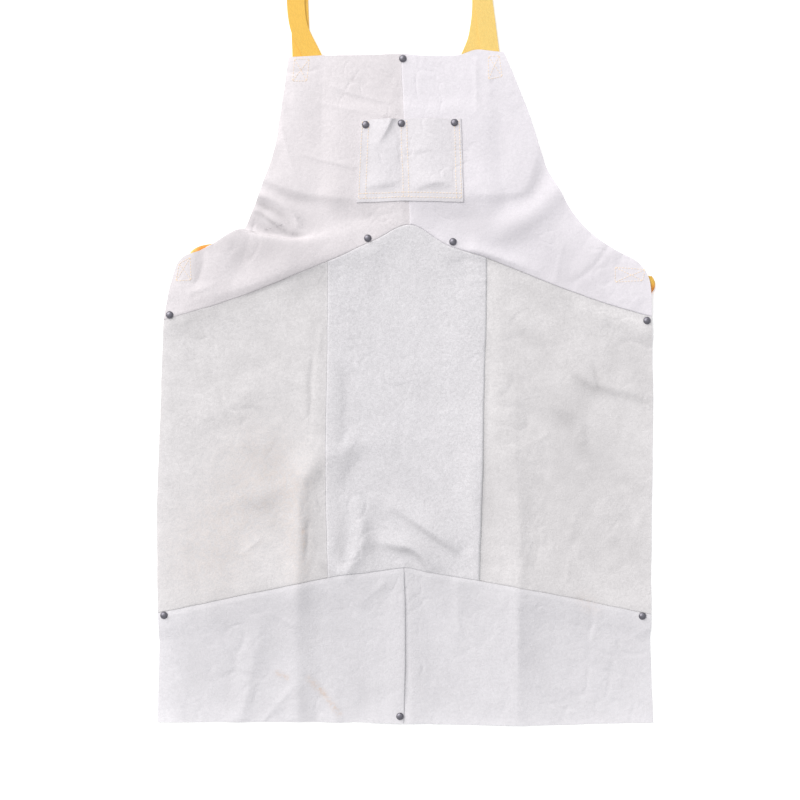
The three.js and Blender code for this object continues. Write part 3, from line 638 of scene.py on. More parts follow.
class LaidStrap:
    """Middle surface of a strap by length along it from the neck fold and by distance across it."""

    def __init__(self, strap, thickness):
        self.strap = strap
        self.thickness = thickness
        self.places, self.lengths = lengths_along(strap.route)
        self.length = self.lengths[-1]
        self.start, self.end = -strap.neck_tail, self.length + strap.waist_tail

    def plan(self, along):
        """Points and directions of the strap laid out straight past both folds."""
        inside = np.clip(along, 0, self.length)
        place = np.interp(inside, self.lengths, self.places)
        step = 1e-4
        low, high = np.maximum(place - step, 0), np.minimum(place + step, self.places[-1])
        way = smooth_curve(self.strap.route, high) - smooth_curve(self.strap.route, low)
        way /= np.linalg.norm(way, axis=1)[:, None]
        return smooth_curve(self.strap.route, place) + way * (along - inside)[:, None], way

    def tucked_rise(self, along):
        """Rise of a strap that lies over its own neck tail."""
        turn = np.clip(-along / NECK_FOLD_RADIUS, 0, np.pi)
        over_tail = settle(along, NECK_FOLD_RADIUS) * fade((along - self.strap.neck_tail) / STRAP_SETTLE)
        return np.where(along > 0, over_tail, NECK_FOLD_RADIUS * (1 + np.cos(turn)))

    def surface(self, along, across):
        """Places of points of the strap, folded at both ends."""
        point, way = self.plan(along)
        x, y = point[:, 0] - way[:, 1] * across, point[:, 1] + way[:, 0] * across
        z = np.full(x.shape, STRAP_LOW + self.thickness / 2)
        if self.strap.over:
            away = np.hypot(point[:, 0] - self.strap.over[0], point[:, 1] - self.strap.over[1])
            z += STRAP_LAYER * fade(away / CROSSING_REACH - CROSSING_LEVEL)
        flat = np.stack([x, y, z], axis=1)
        early = LOOP_ROUNDING * (across / WEBBING_HALF) ** 2
        neck = fold_over(flat, self.strap.route[0], self.strap.neck_fold, NECK_FOLD_RADIUS, 0)
        if self.strap.tail_under:
            neck[:, 2] = z + self.tucked_rise(along)
        waist = fold_over(flat, self.strap.route[-1], self.strap.waist_fold, WAIST_FOLD_RADIUS, early)
        return np.where((along < self.length / 2)[:, None], neck, waist)


class Rest:
    """What carries the leather: straps, rivets, turned seams and the folds that stand in it."""

    SAMPLE = 0.0025

    def __init__(self, webbing):
        self.half_width = webbing.width / 2
        tops = []
        for strap in STRAPS:
            laid = LaidStrap(strap, webbing.thickness)
            along = np.arange(laid.start, laid.end, self.SAMPLE)
            middle = laid.surface(along, np.zeros(along.shape))
            middle[:, 2] += webbing.thickness / 2 + STRAP_CLEARANCE
            tops.append(middle)
        self.tops = np.concatenate(tops)
        self.rivet_lift = {rivet.name: self.level_at(rivet) for rivet in RIVETS}

    def level_at(self, rivet):
        """Height of the leather where a rivet goes through it."""
        x, y = np.array([rivet.x]), np.array([rivet.y])
        from_seam = np.full(1, 0.0 if rivet.sheets == 1 else FAR_FROM_SEAM)
        rise = folds_at(FOLDS, x, y)[2] + folds_at(CREASES, x, y)[2]
        return float((self.carried_lift(x, y, from_seam) + rise)[0])

    def strap_lift(self, x, y, margin, reach):
        """Height that the straps lift the leather to, level over their width and a margin."""
        lift = np.zeros(x.shape)
        span = self.half_width + margin + reach
        low, high = (x.min() - span, y.min() - span), (x.max() + span, y.max() + span)
        near = np.all((self.tops[:, :2] > low) & (self.tops[:, :2] < high), axis=1)
        for px, py, top in self.tops[near]:
            distance = np.hypot(x - px, y - py)
            lift = np.maximum(lift, top * fade((distance - self.half_width - margin) / reach))
        return lift

    def plateau_lift(self, plateau, x, y):
        out_x = np.maximum(0, np.abs(x - plateau.x) - plateau.half_width)
        out_y = np.maximum(0, np.abs(y - plateau.y) - plateau.half_height)
        return plateau.lift * fade(np.hypot(out_x, out_y) / plateau.fade)

    def rivet_hold(self, x, y):
        """How level the nearest rivet holds the leather, from 0 to 1, and at what height."""
        share, lift = np.zeros(x.shape), np.zeros(x.shape)
        for rivet in RIVETS:
            hold = fade((np.hypot(x - rivet.x, y - rivet.y) - HOLD_RADIUS) / HOLD_FADE)
            lift = np.where(hold > share, self.rivet_lift[rivet.name], lift)
            share = np.maximum(share, hold)
        return share, lift

    def carried_lift(self, x, y, from_seam):
        """Height that the straps, the stack under the pocket and the seams carry the leather to."""
        lifts = (
            self.strap_lift(x, y, STRAP_MARGIN, STRAP_FADE),
            *(self.plateau_lift(plateau, x, y) for plateau in PLATEAUS),
            SEAM_LIFT * fade(from_seam / SEAM_REACH),
        )
        return sum(lift ** LIFT_BLEND for lift in lifts) ** (1 / LIFT_BLEND)

    def uneven(self, x, y):
        """Lumps, ripples and fine crumples of leather that was folded in a pack."""
        lump = LUMP_HEIGHT * (LUMP_BIAS + cloud(x, y, LUMP_SIZE, LUMP_LAYER))
        ripple = sum(height * cloud(x, y, size, layer) for size, height, layer in RIPPLES)
        crumple = np.zeros(x.shape)
        for size, height, layer in CRUMPLES:
            line = np.exp(-(cloud(x, y, size, layer) / CRUMPLE_SHARPNESS) ** 2)
            patches = PATCH_CONTRAST * cloud(x, y, PATCH_SIZE * size, layer + PATCH_LAYER)
            crumple -= height * line * np.clip(patches, 0, 1)
        return lump + ripple + crumple

    def lie(self, x, y, from_seam, drop):
        """Places of points of the flat leather, with z at its underside."""
        x = x + WANDER * cloud(x, y, WANDER_SIZE, WANDER_LAYERS[0])
        y = y + WANDER * cloud(x, y, WANDER_SIZE, WANDER_LAYERS[1])
        hold, lift = self.rivet_hold(x, y)
        lean_x, lean_y, rise = folds_at(FOLDS, x, y)
        crease = folds_at(CREASES, x, y)[2]
        free = self.carried_lift(x, y, from_seam) + rise + crease + self.uneven(x, y)
        free = np.maximum(free, self.strap_lift(x, y, HUG_MARGIN, HUG_FADE))
        z = np.maximum(mix(free, lift, hold) - drop, 0)
        leaning = (1 - hold) * (1 - fade(from_seam / LEAN_REACH))
        return np.stack([x + lean_x * leaning, y + lean_y * leaning, z], axis=1)


# Panels as walls
def patch(panel, u, v):
    """Points of the flat leather between a panel's four sides."""
    u, v = u[:, None], v[:, None]
    bottom, top = panel.bottom(u[:, 0]), panel.top(u[:, 0])
    left, right = panel.left(v[:, 0]), panel.right(v[:, 0])
    low_left, low_right, high_left, high_right = (
        side(np.array([end]))
        for side, end in ((panel.bottom, 0.0), (panel.bottom, 1.0), (panel.top, 0.0), (panel.top, 1.0))
    )
    corners = (low_left * (1 - u) + low_right * u) * (1 - v) + (high_left * (1 - u) + high_right * u) * v
    return mix(bottom, top, v) + mix(left, right, u) - corners


def grid_lines(length, cell, roll_start, roll_end):
    """Share of the free width and offset of each grid line between two sides, and the width that rolls."""
    taken = roll_start[-1] + roll_end[-1]
    cells = max(2, round((length - taken) / cell))
    inner = np.linspace(0, 1, cells + 1)[1:-1]
    share = np.concatenate([np.zeros(len(roll_start)), inner, np.ones(len(roll_end))])
    offset = np.concatenate([roll_start, np.full(len(inner), roll_start[-1]), taken - roll_end[::-1]])
    return share, offset, taken


def edge_lines(panel, side):
    """Distances from an edge where the grid has lines for its roll, or the bare edge."""
    if side in panel.proud:
        turn = np.linspace(ROLL_TURN, 0, ROLL_STEPS + 1)
        return panel.proud[side] + ROLL_RADIUS * (math.sin(ROLL_TURN) - np.sin(turn))
    return np.full(1, SUNK_GAP if side in panel.sunk else 0.0)


def seam_drop(panel, away):
    """How far the leather drops towards its seams, by the distance from each side."""
    steepest = math.sin(ROLL_TURN)
    rolled, shoulder, sunk = (np.zeros(away["left"].shape) for _ in range(3))
    for side, gap in panel.proud.items():
        rolled = np.maximum(rolled, np.clip(steepest - (away[side] - gap) / ROLL_RADIUS, 0, steepest))
        shoulder = np.maximum(shoulder, SHOULDER * np.exp(-away[side] / SHOULDER_REACH))
    for side, (depth, reach) in panel.sunk.items():
        sunk = np.maximum(sunk, depth * fade(away[side] / reach))
    return ROLL_RADIUS * (1 - np.sqrt(1 - rolled ** 2)) + shoulder + sunk


def side_length(side):
    line = side(np.linspace(0, 1, SIDE_SAMPLES))
    return np.linalg.norm(np.diff(line, axis=0), axis=1).sum()


def grid_mesh(columns, rows):
    """A grid as a bmesh, with the column and row of each vertex."""
    mesh = bmesh.new()
    bmesh.ops.create_grid(mesh, x_segments=columns, y_segments=rows, size=1)
    place = np.array([vert.co for vert in mesh.verts])
    share = (place - place.min(axis=0))[:, :2] / np.ptp(place, axis=0)[:2]
    index = np.rint(share * (columns, rows)).astype(int)
    return mesh, index[:, 0], index[:, 1]


def set_places(mesh, places):
    for vert, place in zip(mesh.verts, places):
        vert.co = place


def new_object(name, mesh, materials):
    """A finished bmesh as an object of the scene."""
    data = bpy.data.meshes.new(name)
    mesh.to_mesh(data)
    mesh.free()
    for material in materials:
        data.materials.append(material)
    thing = bpy.data.objects.new(name, data)
    bpy.context.scene.collection.objects.link(thing)
    return thing


def new_piece(name, mesh, materials):
    """A finished bmesh as a piece of the apron, shaded smooth."""
    piece = new_object(name, mesh, materials)
    piece.data.shade_smooth()
    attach(piece, "root")
    return piece


def thicken(piece, thickness, trim):
    """Gives a sheet its wall, with the trim of a cut edge."""
    wall = piece.modifiers.new("wall", "SOLIDIFY")
    wall.thickness = thickness
    wall.offset = 0
    wall.material_offset_rim = 1
    edge = piece.modifiers.new("edge", "BEVEL")
    edge.width = trim
    edge.segments = TRIM_SEGMENTS
    edge.limit_method = "ANGLE"
    edge.angle_limit = TRIM_ANGLE
    edge.harden_normals = True


def mark_strength(marks, x, y):
    """How strong the marks are together at points of the flat leather."""
    strength = np.zeros(x.shape)
    for marking in marks:
        near = nearest_on_crest(fine_crest(marking.streak), x, y)
        strength += near.height * np.exp(-((near.distance / marking.width) ** 2))
    return strength


def add_value(piece, name, values):
    """Stores a number for each point of a piece, for its material."""
    layer = piece.data.attributes.new(name, "FLOAT", "POINT")
    layer.data.foreach_set("value", values)


def add_marks(piece, x, y):
    """Stores where the leather is stained, and where shade and light are painted on it."""
    add_value(piece, "tan_mark", mark_strength(TAN_MARKS, x, y))
    add_value(piece, "painted_shade_mark", mark_strength(PAINTED_SHADE_MARKS, x, y))


def flat_area(panel):
    """Area inside the outline of a flat panel."""
    share = np.linspace(0, 1, OUTLINE_SAMPLES)
    outline = np.concatenate([
        panel.bottom(share), panel.right(share), panel.top(share[::-1]), panel.left(share[::-1])
    ])
    following = np.roll(outline, -1, axis=0)
    return 0.5 * abs(np.sum(outline[:, 0] * following[:, 1] - outline[:, 1] * following[:, 0]))


def paleness(panel, away):
    """How much paler the leather is towards its raw edges, partly rubbed and partly painted light, by the
    distance from each side.
    """
    pale = np.zeros(away["left"].shape)
    for side, amount in PALE_AND_LIT_EDGES.items():
        if side not in panel.proud and side not in panel.sunk:
            pale += amount * np.exp(-away[side] / PALE_REACH)
    return pale


def lay_panel(panel, rest, thickness, cell):
    """Mesh of a panel on its middle surface, with the plan and the paleness of its points."""
    width = (side_length(panel.bottom) + side_length(panel.top)) / 2
    height = (side_length(panel.left) + side_length(panel.right)) / 2
    rolls = {side: edge_lines(panel, side) for side in ("left", "right", "bottom", "top")}
    share_u, offset_u, taken_u = grid_lines(width, cell, rolls["left"], rolls["right"])
    share_v, offset_v, taken_v = grid_lines(height, cell, rolls["bottom"], rolls["top"])
    mesh, column, row = grid_mesh(len(share_u) - 1, len(share_v) - 1)

    nominal_u = (share_u[column] * (width - taken_u) + offset_u[column]) / width
    nominal_v = (share_v[row] * (height - taken_v) + offset_v[row]) / height
    local_width = np.linalg.norm(panel.right(nominal_v) - panel.left(nominal_v), axis=1)
    local_height = np.linalg.norm(panel.top(nominal_u) - panel.bottom(nominal_u), axis=1)
    u = (share_u[column] * (local_width - taken_u) + offset_u[column]) / local_width
    v = (share_v[row] * (local_height - taken_v) + offset_v[row]) / local_height

    far = np.full(u.shape, FAR_FROM_SEAM)
    away = {
        "left": u * local_width,
        "right": (1 - u) * local_width,
        "bottom": v * local_height,
        "top": (1 - v) * local_height,
    }
    from_seam = np.minimum.reduce([away[side] for side in (*panel.proud, *panel.sunk)] + [far])

    plan = patch(panel, u, v)
    places = rest.lie(plan[:, 0], plan[:, 1], from_seam, seam_drop(panel, away))
    places[:, 2] += thickness / 2
    set_places(mesh, places)
    return mesh, plan, paleness(panel, away)


def pocket_surface(rest, leather, u, v):
    """Middle surface of the pocket by share of its width and height."""
    plan = patch(POCKET, u, v)
    bib = rest.lie(plan[:, 0], plan[:, 1], np.full(u.shape, FAR_FROM_SEAM), np.zeros(u.shape))
    puff = np.zeros(u.shape)
    for start, end, height in POCKET_HALVES:
        low = mix(start[0], start[1], v) + POCKET_SEWN_MARGIN
        high = mix(end[0], end[1], v) - POCKET_SEWN_MARGIN
        arch = np.sin(np.pi * np.clip((u - low) / (high - low), 0, 1))
        above = (v - POCKET_ROWS_BOTTOM[1]) * POCKET_HEIGHT
        bulge = POCKET_BULGE * np.exp(-((above - POCKET_BULGE_HEIGHT) / POCKET_BULGE_REACH) ** 2)
        puff += arch * (1 - fade(above / POCKET_RISE)) * (height + bulge)
    crease = folds_at(POCKET_CREASES, plan[:, 0], plan[:, 1])[2]
    z = bib[:, 2] + leather.thickness + POCKET_GAP + leather.pocket_thickness / 2 + puff + crease
    return np.stack([bib[:, 0], bib[:, 1], z], axis=1)


# Materials
def new_material(name):
    """A material with its node tree, its shader and its texture coordinates."""
    material = bpy.data.materials.new(name)
    material.use_nodes = True
    tree = material.node_tree
    shader = tree.nodes["Principled BSDF"]
    coordinates = tree.nodes.new("ShaderNodeTexCoord")
    return material, tree, shader, coordinates


def set_sockets(node, values):
    """Sets sockets of a node to numbers or colours that hold all over."""
    for name, value in values.items():
        node.inputs[name].default_value = value


def noise_node(tree, vector, scale, detail, roughness):
    node = tree.nodes.new("ShaderNodeTexNoise")
    set_sockets(node, {"Scale": scale, "Detail": detail, "Roughness": roughness})
    tree.links.new(vector, node.inputs["Vector"])
    return node.outputs["Fac"]


def spread_node(tree, value, source, target):
    """Maps one range of a pattern to another."""
    node = tree.nodes.new("ShaderNodeMapRange")
    set_sockets(node, dict(zip(("From Min", "From Max", "To Min", "To Max"), (*source, *target))))
    tree.links.new(value, node.inputs["Value"])
    return node.outputs["Result"]


def math_node(tree, operation, first, second):
    """Result of an operation on two values, each a number or a socket."""
    node = tree.nodes.new("ShaderNodeMath")
    node.operation = operation
    for socket, value in zip(node.inputs, (first, second)):
        if isinstance(value, (int, float)):
            socket.default_value = value
        else:
            tree.links.new(value, socket)
    return node.outputs["Value"]


def colour_mix(tree, share, first, second):
    """Mix of two colours, each a colour or a socket."""
    node = tree.nodes.new("ShaderNodeMix")
    node.data_type = "RGBA"
    tree.links.new(share, node.inputs["Factor"])
    for socket, value in ((node.inputs[6], first), (node.inputs[7], second)):
        if isinstance(value, bpy.types.NodeSocket):
            tree.links.new(value, socket)
        else:
            socket.default_value = (*value, 1)
    return node.outputs[2]


def bump_node(tree, height, strength, distance, below=None):
    node = tree.nodes.new("ShaderNodeBump")
    set_sockets(node, {"Strength": strength, "Distance": distance})
    tree.links.new(height, node.inputs["Height"])
    if below:
        tree.links.new(below, node.inputs["Normal"])
    return node.outputs["Normal"]


def attribute_node(tree, name):
    node = tree.nodes.new("ShaderNodeAttribute")
    node.attribute_name = name
    return node.outputs["Fac"]


def scaled(colour, factor):
    """A lighter or darker tone of a colour."""
    return tuple(part * factor for part in colour)


# Finish of each kind of leather: strength of its clouds, of its blotches, of its mottling and of its nap
Finish = namedtuple("Finish", "cloud blotch mottle nap")
FINISHES = {
    "bib": Finish(0.020, 0.012, 0.045, 0.050),
    "cool_bib": Finish(0.020, 0.012, 0.040, 0.045),
    "pocket": Finish(0.022, 0.016, 0.050, 0.055),
    "centre": Finish(0.024, 0.016, 0.075, 0.120),
    "side": Finish(0.034, 0.034, 0.060, 0.085),
    "hem": Finish(0.024, 0.016, 0.045, 0.060),
}

# Patterns of the leather: scale, detail and roughness of each noise, the part of its range that is used, how
# deep the painted shade of the marks is in the mottling, and where in it a tan mark shows
PATTERNS = {"cloud": (13, 3, 0.5), "blotch": (48, 3, 0.5), "mottle": (240, 4, 0.6), "nap": (620, 3, 0.65)}
PATTERN_RANGE = (0.3, 0.7)
PAINTED_SHADE_DEPTH = (0.08, 0.18)
TAN_RANGE = (0.38, 0.62)


def suede(name, colour, tan, finish, tone):
    """Split leather with a raised nap: clouded, mottled, stained where the hide was marked, with painted
    shade and light from the marks and paler edges.
    """
    material, tree, shader, coordinates = new_material(name)
    place = coordinates.outputs["Object"]
    pattern = {kind: noise_node(tree, place, *sizes) for kind, sizes in PATTERNS.items()}
    shade = tone
    for kind, strength in finish._asdict().items():
        here = spread_node(tree, pattern[kind], PATTERN_RANGE, (1 - strength, 1 + strength))
        shade = math_node(tree, "MULTIPLY", shade, here)
    # Painted shade and light of the marks, broken up by the mottling
    depth = spread_node(tree, pattern["mottle"], PATTERN_RANGE, PAINTED_SHADE_DEPTH)
    painted_shade_amount = math_node(tree, "MULTIPLY", attribute_node(tree, "painted_shade_mark"), depth)
    shade = math_node(tree, "SUBTRACT", shade, painted_shade_amount)
    # Paler raw edges: partly a rubbed nap, partly painted light
    shade = math_node(tree, "ADD", shade, attribute_node(tree, "pale_and_lit_edge"))
    leather = tree.nodes.new("ShaderNodeVectorMath")
    leather.operation = "SCALE"
    leather.inputs[0].default_value = colour
    tree.links.new(shade, leather.inputs["Scale"])
    blots = spread_node(tree, pattern["mottle"], TAN_RANGE, (0, 1))
    marking = math_node(tree, "MULTIPLY", attribute_node(tree, "tan_mark"), blots)
    tree.links.new(colour_mix(tree, marking, leather.outputs["Vector"], tan), shader.inputs["Base Color"])
    relief = bump_node(tree, pattern["mottle"], strength=0.5, distance=0.0009)
    relief = bump_node(tree, pattern["nap"], strength=0.6, distance=0.0005, below=relief)
    tree.links.new(relief, shader.inputs["Normal"])
    set_sockets(shader, {
        "Roughness": 0.93, "Specular IOR Level": 0.15, "Sheen Weight": 0.12, "Sheen Roughness": 0.55
    })
    return material


def fibres(name, colour, darker, grain, relief, sockets):
    """Fibres in two tones of a colour, with the grain of their noise and the relief of their bump."""
    material, tree, shader, coordinates = new_material(name)
    strands = noise_node(tree, coordinates.outputs["Object"], *grain)
    tree.links.new(colour_mix(tree, strands, scaled(colour, darker), colour), shader.inputs["Base Color"])
    tree.links.new(bump_node(tree, strands, *relief), shader.inputs["Normal"])
    set_sockets(shader, sockets)
    return material


def cut_leather(colour):
    """Raw fibres of a cut edge."""
    return fibres(
        "cut_leather_edge", colour, darker=0.92, grain=(900, 3, 0.7), relief=(0.7, 0.0004),
        sockets={"Roughness": 0.95, "Specular IOR Level": 0.1},
    )


def sewing_thread(colour):
    """Twisted fibres of the thread."""
    return fibres(
        "sewing_thread", colour, darker=0.8, grain=(2200, 2, 0.5), relief=(0.5, 0.0001),
        sockets={"Roughness": 0.7},
    )


def woven_webbing(name, settings, yarn):
    """Webbing with yarns that run along the strap, over and under the weft, with painted shade in the gaps
    of the weave and in the loops.
    """
    material, tree, shader, coordinates = new_material(name)
    weave = tree.nodes.new("ShaderNodeTexBrick")
    weave.offset = 0.5
    # The mortar takes the shaded yarn: painted shade in the gaps of the weave
    set_sockets(weave, {
        "Color1": (*yarn, 1),
        "Color2": (*scaled(yarn, 0.9), 1),
        "Mortar": (*settings.deep_yarn, 1),
        "Scale": 1,
        "Mortar Size": 0.00016,
        "Mortar Smooth": 0.7,
        "Brick Width": 0.0030,
        "Row Height": settings.rib / 2,
    })
    stretch = tree.nodes.new("ShaderNodeMapping")
    stretch.inputs["Scale"].default_value = (500, 5200, 1)
    for node in (weave, stretch):
        tree.links.new(coordinates.outputs["UV"], node.inputs["Vector"])
    strands = noise_node(tree, stretch.outputs["Vector"], scale=1, detail=2, roughness=0.5)
    depth = spread_node(tree, strands, source=(0.35, 0.7), target=(0.25, 0))
    tinted = colour_mix(tree, depth, weave.outputs["Color"], settings.deep_yarn)
    # Painted shade on the loops at the waist folds
    shaded = colour_mix(tree, attribute_node(tree, "loop_shade"), tinted, settings.loop)
    tree.links.new(shaded, shader.inputs["Base Color"])
    height = math_node(tree, "SUBTRACT", 1, weave.outputs["Fac"])
    relief = bump_node(tree, height, strength=0.8, distance=0.0004)
    relief = bump_node(tree, strands, strength=0.4, distance=0.00012, below=relief)
    tree.links.new(relief, shader.inputs["Normal"])
    set_sockets(shader, {"Roughness": 0.62, "Specular IOR Level": 0.35, "Sheen Weight": 0.1})
    return material


def gunmetal(colour):
    """Dark plated metal with light scuffs."""
    material, tree, shader, coordinates = new_material("gunmetal")
    place = coordinates.outputs["Object"]
    scuffs = noise_node(tree, place, scale=900, detail=4, roughness=0.6)
    patina = noise_node(tree, place, scale=260, detail=3, roughness=0.5)
    light = spread_node(tree, scuffs, source=(0.45, 0.75), target=(0, 0.8))
    tree.links.new(colour_mix(tree, light, colour, scaled(colour, 1.7)), shader.inputs["Base Color"])
    dullness = spread_node(tree, patina, source=(0.3, 0.7), target=(0.36, 0.54))
    tree.links.new(dullness, shader.inputs["Roughness"])
    tree.links.new(bump_node(tree, scuffs, strength=0.15, distance=0.0001), shader.inputs["Normal"])
    shader.inputs["Metallic"].default_value = 0.9
    return material


# Operators
class APRON_OT_stage(bpy.types.Operator):
    """Make the camera, the floor and the soft light"""

    bl_idname = "apron.stage"
    bl_label = "Stage"

    FLOOR_SIZE = 40
    FLOOR_DROP = 0.0002
    # Painted light: the floor glows a little, which pales the shadows on it
    FLOOR_GLOW = 0.2
    MIDDLE = (-0.007, 0.0)
    KEY_FROM = (-0.56, 0.59, 0.58)
    KEY_COLOUR = (1.0, 0.975, 0.95)
    SKY_LOW = (0.25, 0.25, 0.265, 1)
    SKY_HIGH = (0.97, 0.985, 1, 1)
    SKY_TOP = 0.75

    def execute(self, context):
        settings = context.scene.apron.stage
        self.make_camera(context.scene, settings)
        self.make_floor(settings)
        self.make_light(context.scene, settings)
        return {"FINISHED"}

    def make_camera(self, scene, settings):
        lens = bpy.data.cameras.new("camera")
        lens.lens = lens.sensor_width * settings.camera_height / settings.view_width
        camera = bpy.data.objects.new("camera", lens)
        camera.location = (*self.MIDDLE, settings.camera_height)
        scene.collection.objects.link(camera)
        scene.camera = camera

    def make_floor(self, settings):
        mesh = bmesh.new()
        bmesh.ops.create_grid(mesh, x_segments=1, y_segments=1, size=self.FLOOR_SIZE)
        bmesh.ops.translate(mesh, verts=mesh.verts, vec=(0, 0, -self.FLOOR_DROP))
        material, _, shader, _ = new_material("pale_floor")
        # The emission of the floor is painted light that pales its shadows
        set_sockets(shader, {
            "Base Color": (*settings.floor, 1),
            "Emission Color": (1, 1, 1, 1),
            "Emission Strength": self.FLOOR_GLOW,
            "Roughness": 0.9,
            "Specular IOR Level": 0.1,
        })
        floor = new_object("floor", mesh, [material])

    def make_light(self, scene, settings):
        scene.view_settings.view_transform = "Standard"
        scene.world = self.make_sky(settings)
        lamp = bpy.data.lights.new("key", "SUN")
        lamp.energy = settings.key_strength
        lamp.color = self.KEY_COLOUR
        lamp.angle = settings.key_softness
        key = bpy.data.objects.new("key", lamp)
        key.rotation_euler = Vector(self.KEY_FROM).to_track_quat("Z", "Y").to_euler()
        scene.collection.objects.link(key)

    def make_sky(self, settings):
        """A studio dome that is bright overhead and dim near the floor."""
        sky = bpy.data.worlds.new("sky")
        sky.use_nodes = True
        tree = sky.node_tree
        background = tree.nodes["Background"]
        background.inputs["Strength"].default_value = settings.sky
        direction = tree.nodes.new("ShaderNodeTexCoord")
        parts = tree.nodes.new("ShaderNodeSeparateXYZ")
        ramp = tree.nodes.new("ShaderNodeValToRGB")
        horizon, overhead = ramp.color_ramp.elements
        horizon.color = self.SKY_LOW
        overhead.position = self.SKY_TOP
        overhead.color = self.SKY_HIGH
        tree.links.new(direction.outputs["Generated"], parts.inputs["Vector"])
        tree.links.new(parts.outputs["Z"], ramp.inputs["Fac"])
        tree.links.new(ramp.outputs["Color"], background.inputs["Color"])
        return sky


class APRON_OT_straps(bpy.types.Operator):
    """Lay the two webbing straps"""

    bl_idname = "apron.straps"
    bl_label = "Straps"

    CELL = 0.0025
    CELLS_ACROSS_RIB = 4
    LOOP_REACH = 0.03
    LOOP_SLOPE = 3
    TRIM = 0.0004

    def execute(self, context):
        settings = context.scene.apron.webbing
        for strap, yarn in zip(STRAPS, (settings.left_yarn, settings.right_yarn)):
            material = woven_webbing(f"webbing_{strap.name}", settings, tuple(yarn))
            self.lay_strap(LaidStrap(strap, settings.thickness), settings, material)
        return {"FINISHED"}

    def lay_strap(self, laid, settings, material):
        length = laid.end - laid.start
        ribs = round(settings.width / settings.rib)
        columns, rows = ribs * self.CELLS_ACROSS_RIB, round(length / self.CELL)
        mesh, column, row = grid_mesh(columns, rows)
        across = (0.5 - column / columns) * settings.width
        along = laid.start + row / rows * length
        set_places(mesh, laid.surface(along, across))
        weave = mesh.loops.layers.uv.new("weave")
        mesh.verts.index_update()
        for face in mesh.faces:
            for loop in face.loops:
                index = loop.vert.index
                loop[weave].uv = (along[index], across[index])
        name = laid.strap.name
        piece = new_piece(f"{name}_webbing", mesh, [material, material])
        thicken(piece, settings.thickness, self.TRIM)
        # Painted shade on one side of the strap near the waist fold, where the loop turns
        near_fold = fade(np.abs(along - laid.length) / self.LOOP_REACH)
        near_edge = np.clip(0.5 - self.LOOP_SLOPE * across / settings.width, 0, 1)
        add_value(piece, "loop_shade", near_fold * near_edge)
        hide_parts(name)


class APRON_OT_panels(bpy.types.Operator):
    """Lay the seven leather panels"""

    bl_idname = "apron.panels"
    bl_label = "Leather Panels"

    TRIM = 0.0002

    def execute(self, context):
        settings = context.scene.apron.leather
        rest = Rest(context.scene.apron.webbing)
        edge = cut_leather(settings.side)
        for panel in PANELS:
            on_straps = panel.name.startswith("bib")
            cell = settings.bib_cell if on_straps else settings.cell
            mesh, plan, pale = lay_panel(panel, rest, settings.thickness, cell)
            colour = tuple(getattr(settings, panel.finish))
            leather = suede(f"suede_{panel.name}", colour, settings.tan, FINISHES[panel.finish], panel.tone)
            piece = new_piece(f"{panel.name}_leather", mesh, [leather, edge])
            add_marks(piece, plan[:, 0], plan[:, 1])
            add_value(piece, "pale_and_lit_edge", pale)
            thicken(piece, settings.thickness, self.TRIM)
            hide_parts(panel.name)
            flat, area = np.ptp(plan, axis=0), flat_area(panel)
        return {"FINISHED"}


class APRON_OT_pocket(bpy.types.Operator):
    """Sew the patch pocket on the bib"""

    bl_idname = "apron.pocket"
    bl_label = "Pocket"

    TRIM = 0.00035

    def execute(self, context):
        settings = context.scene.apron.leather
        rest = Rest(context.scene.apron.webbing)
        columns = round(POCKET_WIDTH / settings.pocket_cell)
        rows = round(POCKET_HEIGHT / settings.pocket_cell)
        mesh, column, row = grid_mesh(columns, rows)
        u, v = column / columns, row / rows
        plan = patch(POCKET, u, v)
        set_places(mesh, pocket_surface(rest, settings, u, v))
        colour, finish = tuple(settings.pocket), FINISHES[POCKET.finish]
        leather = suede("suede_pocket", colour, settings.tan, finish, POCKET.tone)
        piece = new_piece("pocket_leather", mesh, [leather, cut_leather(settings.pocket)])
        add_marks(piece, plan[:, 0], plan[:, 1])
        thicken(piece, settings.pocket_thickness, self.TRIM)
        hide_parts("pocket")
        return {"FINISHED"}


